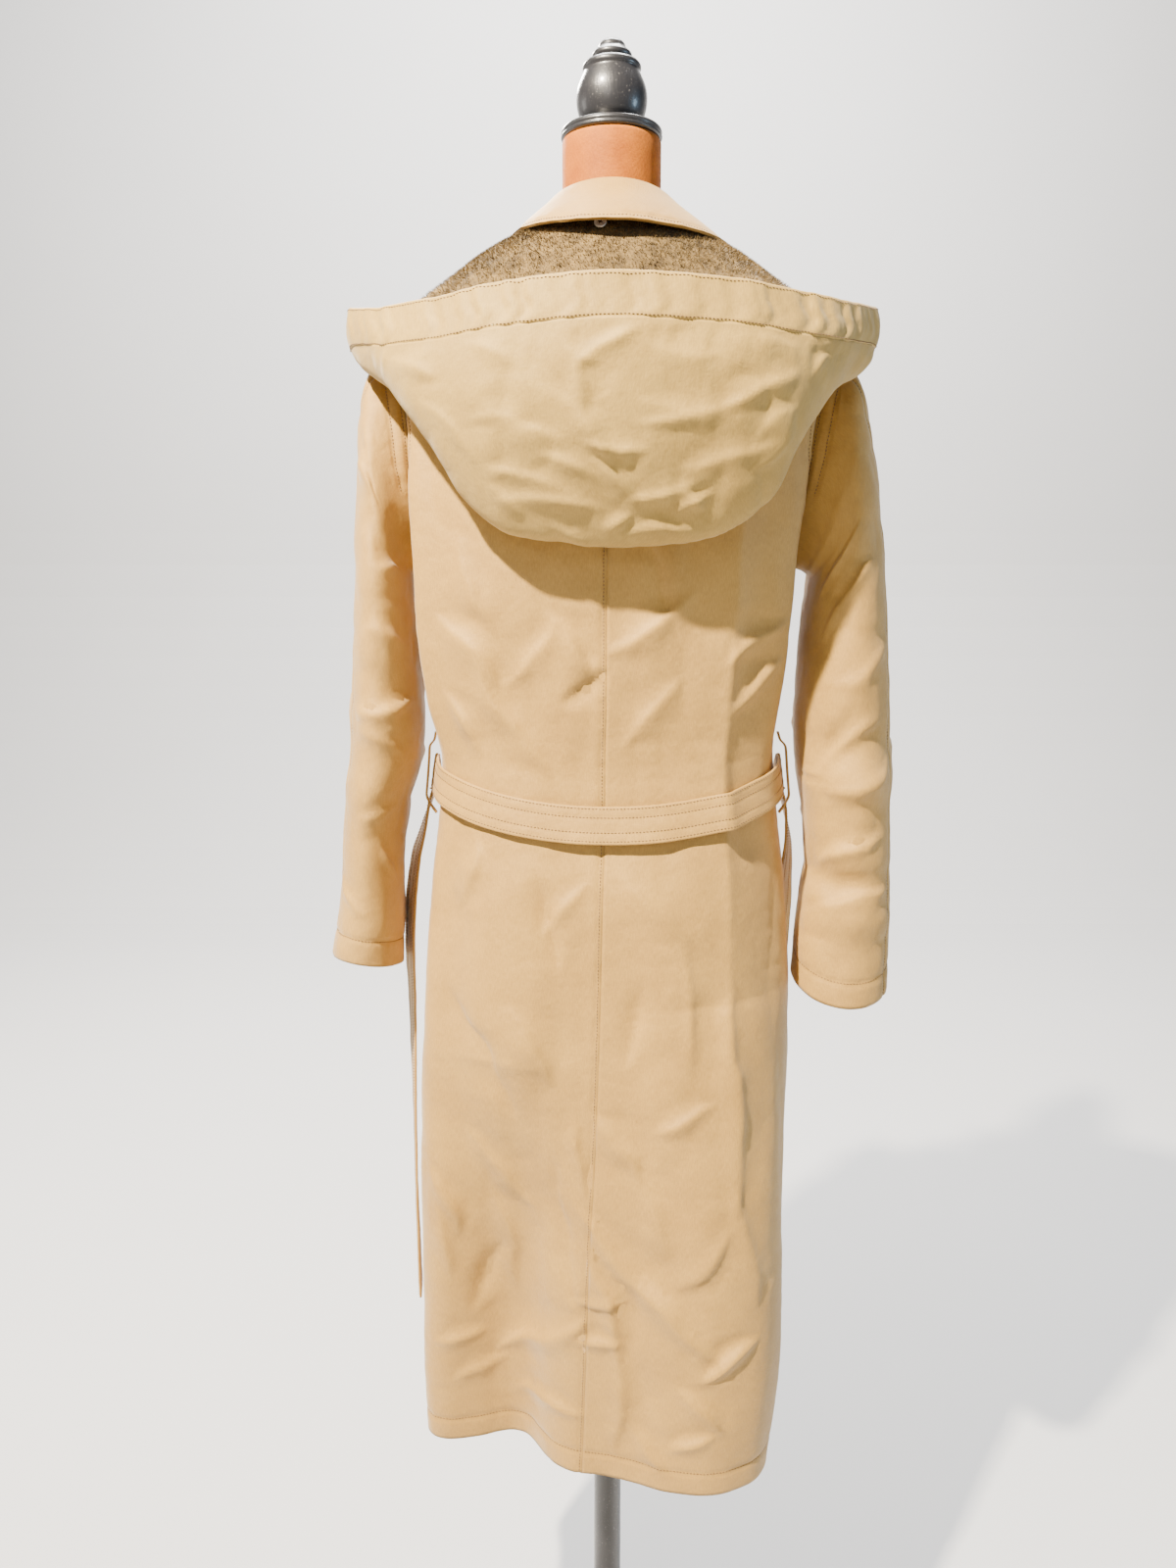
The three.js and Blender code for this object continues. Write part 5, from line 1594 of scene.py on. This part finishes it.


# Near-black finish for the button holes: painted shade, not a colour of the button.
HOLE_PAINTED_SHADE = button_material("button_hole_painted_shade", (0.03, 0.025, 0.02), (0.015, 0.012, 0.01), 300.0)
FRONT_BUTTON_LEVELS = (1425, 1306, 1187, 1085, 930, 794)
for number, z in enumerate(FRONT_BUTTON_LEVELS, start=1):
    spot = np.array(math.pi), np.array(float(z))
    name = f"front_button_{number}"
    button(f"{name}_sewn", coat(*spot), normal_of(coat, *spot, 0.002, 1), 11, 3, HORN, name)
BUTTON_LINE = 0.1
for name, degrees in (("left", 38), ("centre", 6), ("right", -38)):
    centre = (sum(np.array([*corner]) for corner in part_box(f"hood_button_{name}")) / 2 - AXIS) * 1000
    column = np.interp(degrees, HOOD_DEGREES, np.arange(len(HOOD_DEGREES)))
    _, outward = HOOD_BASE.at(np.array([BUTTON_LINE * (len(STATIONS) - 1)]), np.array([column]))
    outward = -outward[0]
    node = f"hood_button_{name}"
    button(f"{node}_sewn", centre - outward * (1 + 2 * SEAM), outward, 5.5, 2, WHITE, node)


# Floor, camera and light.
def plain_material(name, colour):
    new = Finish(name)
    dust = new.texture("Noise", new.place, Scale=3.0, Detail=3.0)
    low = tuple(c * 0.985 for c in colour)
    new.link(new.ramp(dust, (0.3, low), (0.7, colour)), new.shader.inputs["Base Color"])
    new.shader.inputs["Roughness"].default_value = 0.9
    return new.material


SWEEP_WIDTH = 30
SWEEP_BACK = -4.5
SWEEP_ROUND = 1.5
SWEEP_TOP = 12
turns = [(0, 14, 0)] + [
    (0, SWEEP_BACK + SWEEP_ROUND * (1 - math.sin(turn)), SWEEP_ROUND * (1 - math.cos(turn)))
    for turn in np.linspace(0, math.pi / 2, 17)
]
turns.append((0, SWEEP_BACK, SWEEP_TOP))
sides = (-SWEEP_WIDTH, SWEEP_WIDTH)
floor_mesh = bpy.data.meshes.new("floor")
floor_mesh.from_pydata(
    [(x, y, z - 0.0005) for _, y, z in turns for x in sides],
    [],
    [(2 * n, 2 * n + 1, 2 * n + 3, 2 * n + 2) for n in range(len(turns) - 1)],
)
floor_mesh.materials.append(plain_material("pale_floor", (0.5, 0.5, 0.505)))
floor = bpy.data.objects.new("floor", floor_mesh)
bpy.context.scene.collection.objects.link(floor)

IMAGE_HEIGHT = 1600
FOCAL_PIXELS = 1209
SENSOR = 24
camera_data = bpy.data.cameras.new("camera")
camera_data.sensor_fit = "VERTICAL"
camera_data.sensor_height = SENSOR
camera_data.lens = SENSOR * FOCAL_PIXELS / IMAGE_HEIGHT
camera = bpy.data.objects.new("camera", camera_data)
camera.location = (0.022 + AXIS[0], 1.187 + AXIS[1], 1.227 + AXIS[2])
camera.rotation_euler = (80 * RAD, 0, 180 * RAD)
bpy.context.scene.collection.objects.link(camera)
bpy.context.scene.camera = camera


def area_light(name, place, target, size, power, colour):
    data = bpy.data.lights.new(name, "AREA")
    data.size = size
    data.energy = power
    data.color = colour
    light = bpy.data.objects.new(name, data)
    light.location = place
    way = np.array(target, float) - np.array(place, float)
    flat = math.hypot(way[0], way[1])
    tilt, heading = math.atan2(way[2], flat), math.atan2(way[1], way[0])
    light.rotation_euler = (math.pi / 2 + tilt, 0, heading - math.pi / 2)
    bpy.context.scene.collection.objects.link(light)


MIDDLE = (0, 0, 1.15)
area_light("key", (1.15, 1.5, 3.4), MIDDLE, 0.1, 600, (1.0, 0.88, 0.7))
area_light("second", (0.6, 2.4, 2.2), MIDDLE, 0.9, 10, (1.0, 0.95, 0.9))
area_light("cool", (-2.0, 0.35, 1.6), MIDDLE, 0.4, 15, (0.55, 0.78, 1.0))
area_light("front", (0.9, -2.4, 3.1), MIDDLE, 0.5, 150, (1.0, 0.94, 0.86))
area_light("wall", (0, -1.6, 4.6), (0, SWEEP_BACK, 1.3), 2.0, 700, (1.0, 0.99, 0.97))
area_light("side", (2.6, -0.7, 1.8), MIDDLE, 0.8, 12, (1.0, 0.96, 0.9))
world = bpy.data.worlds.new("studio")
world.use_nodes = True
world.node_tree.nodes["Background"].inputs["Color"].default_value = (0.8, 0.86, 1.0, 1)
world.node_tree.nodes["Background"].inputs["Strength"].default_value = 0.24
bpy.context.scene.world = world
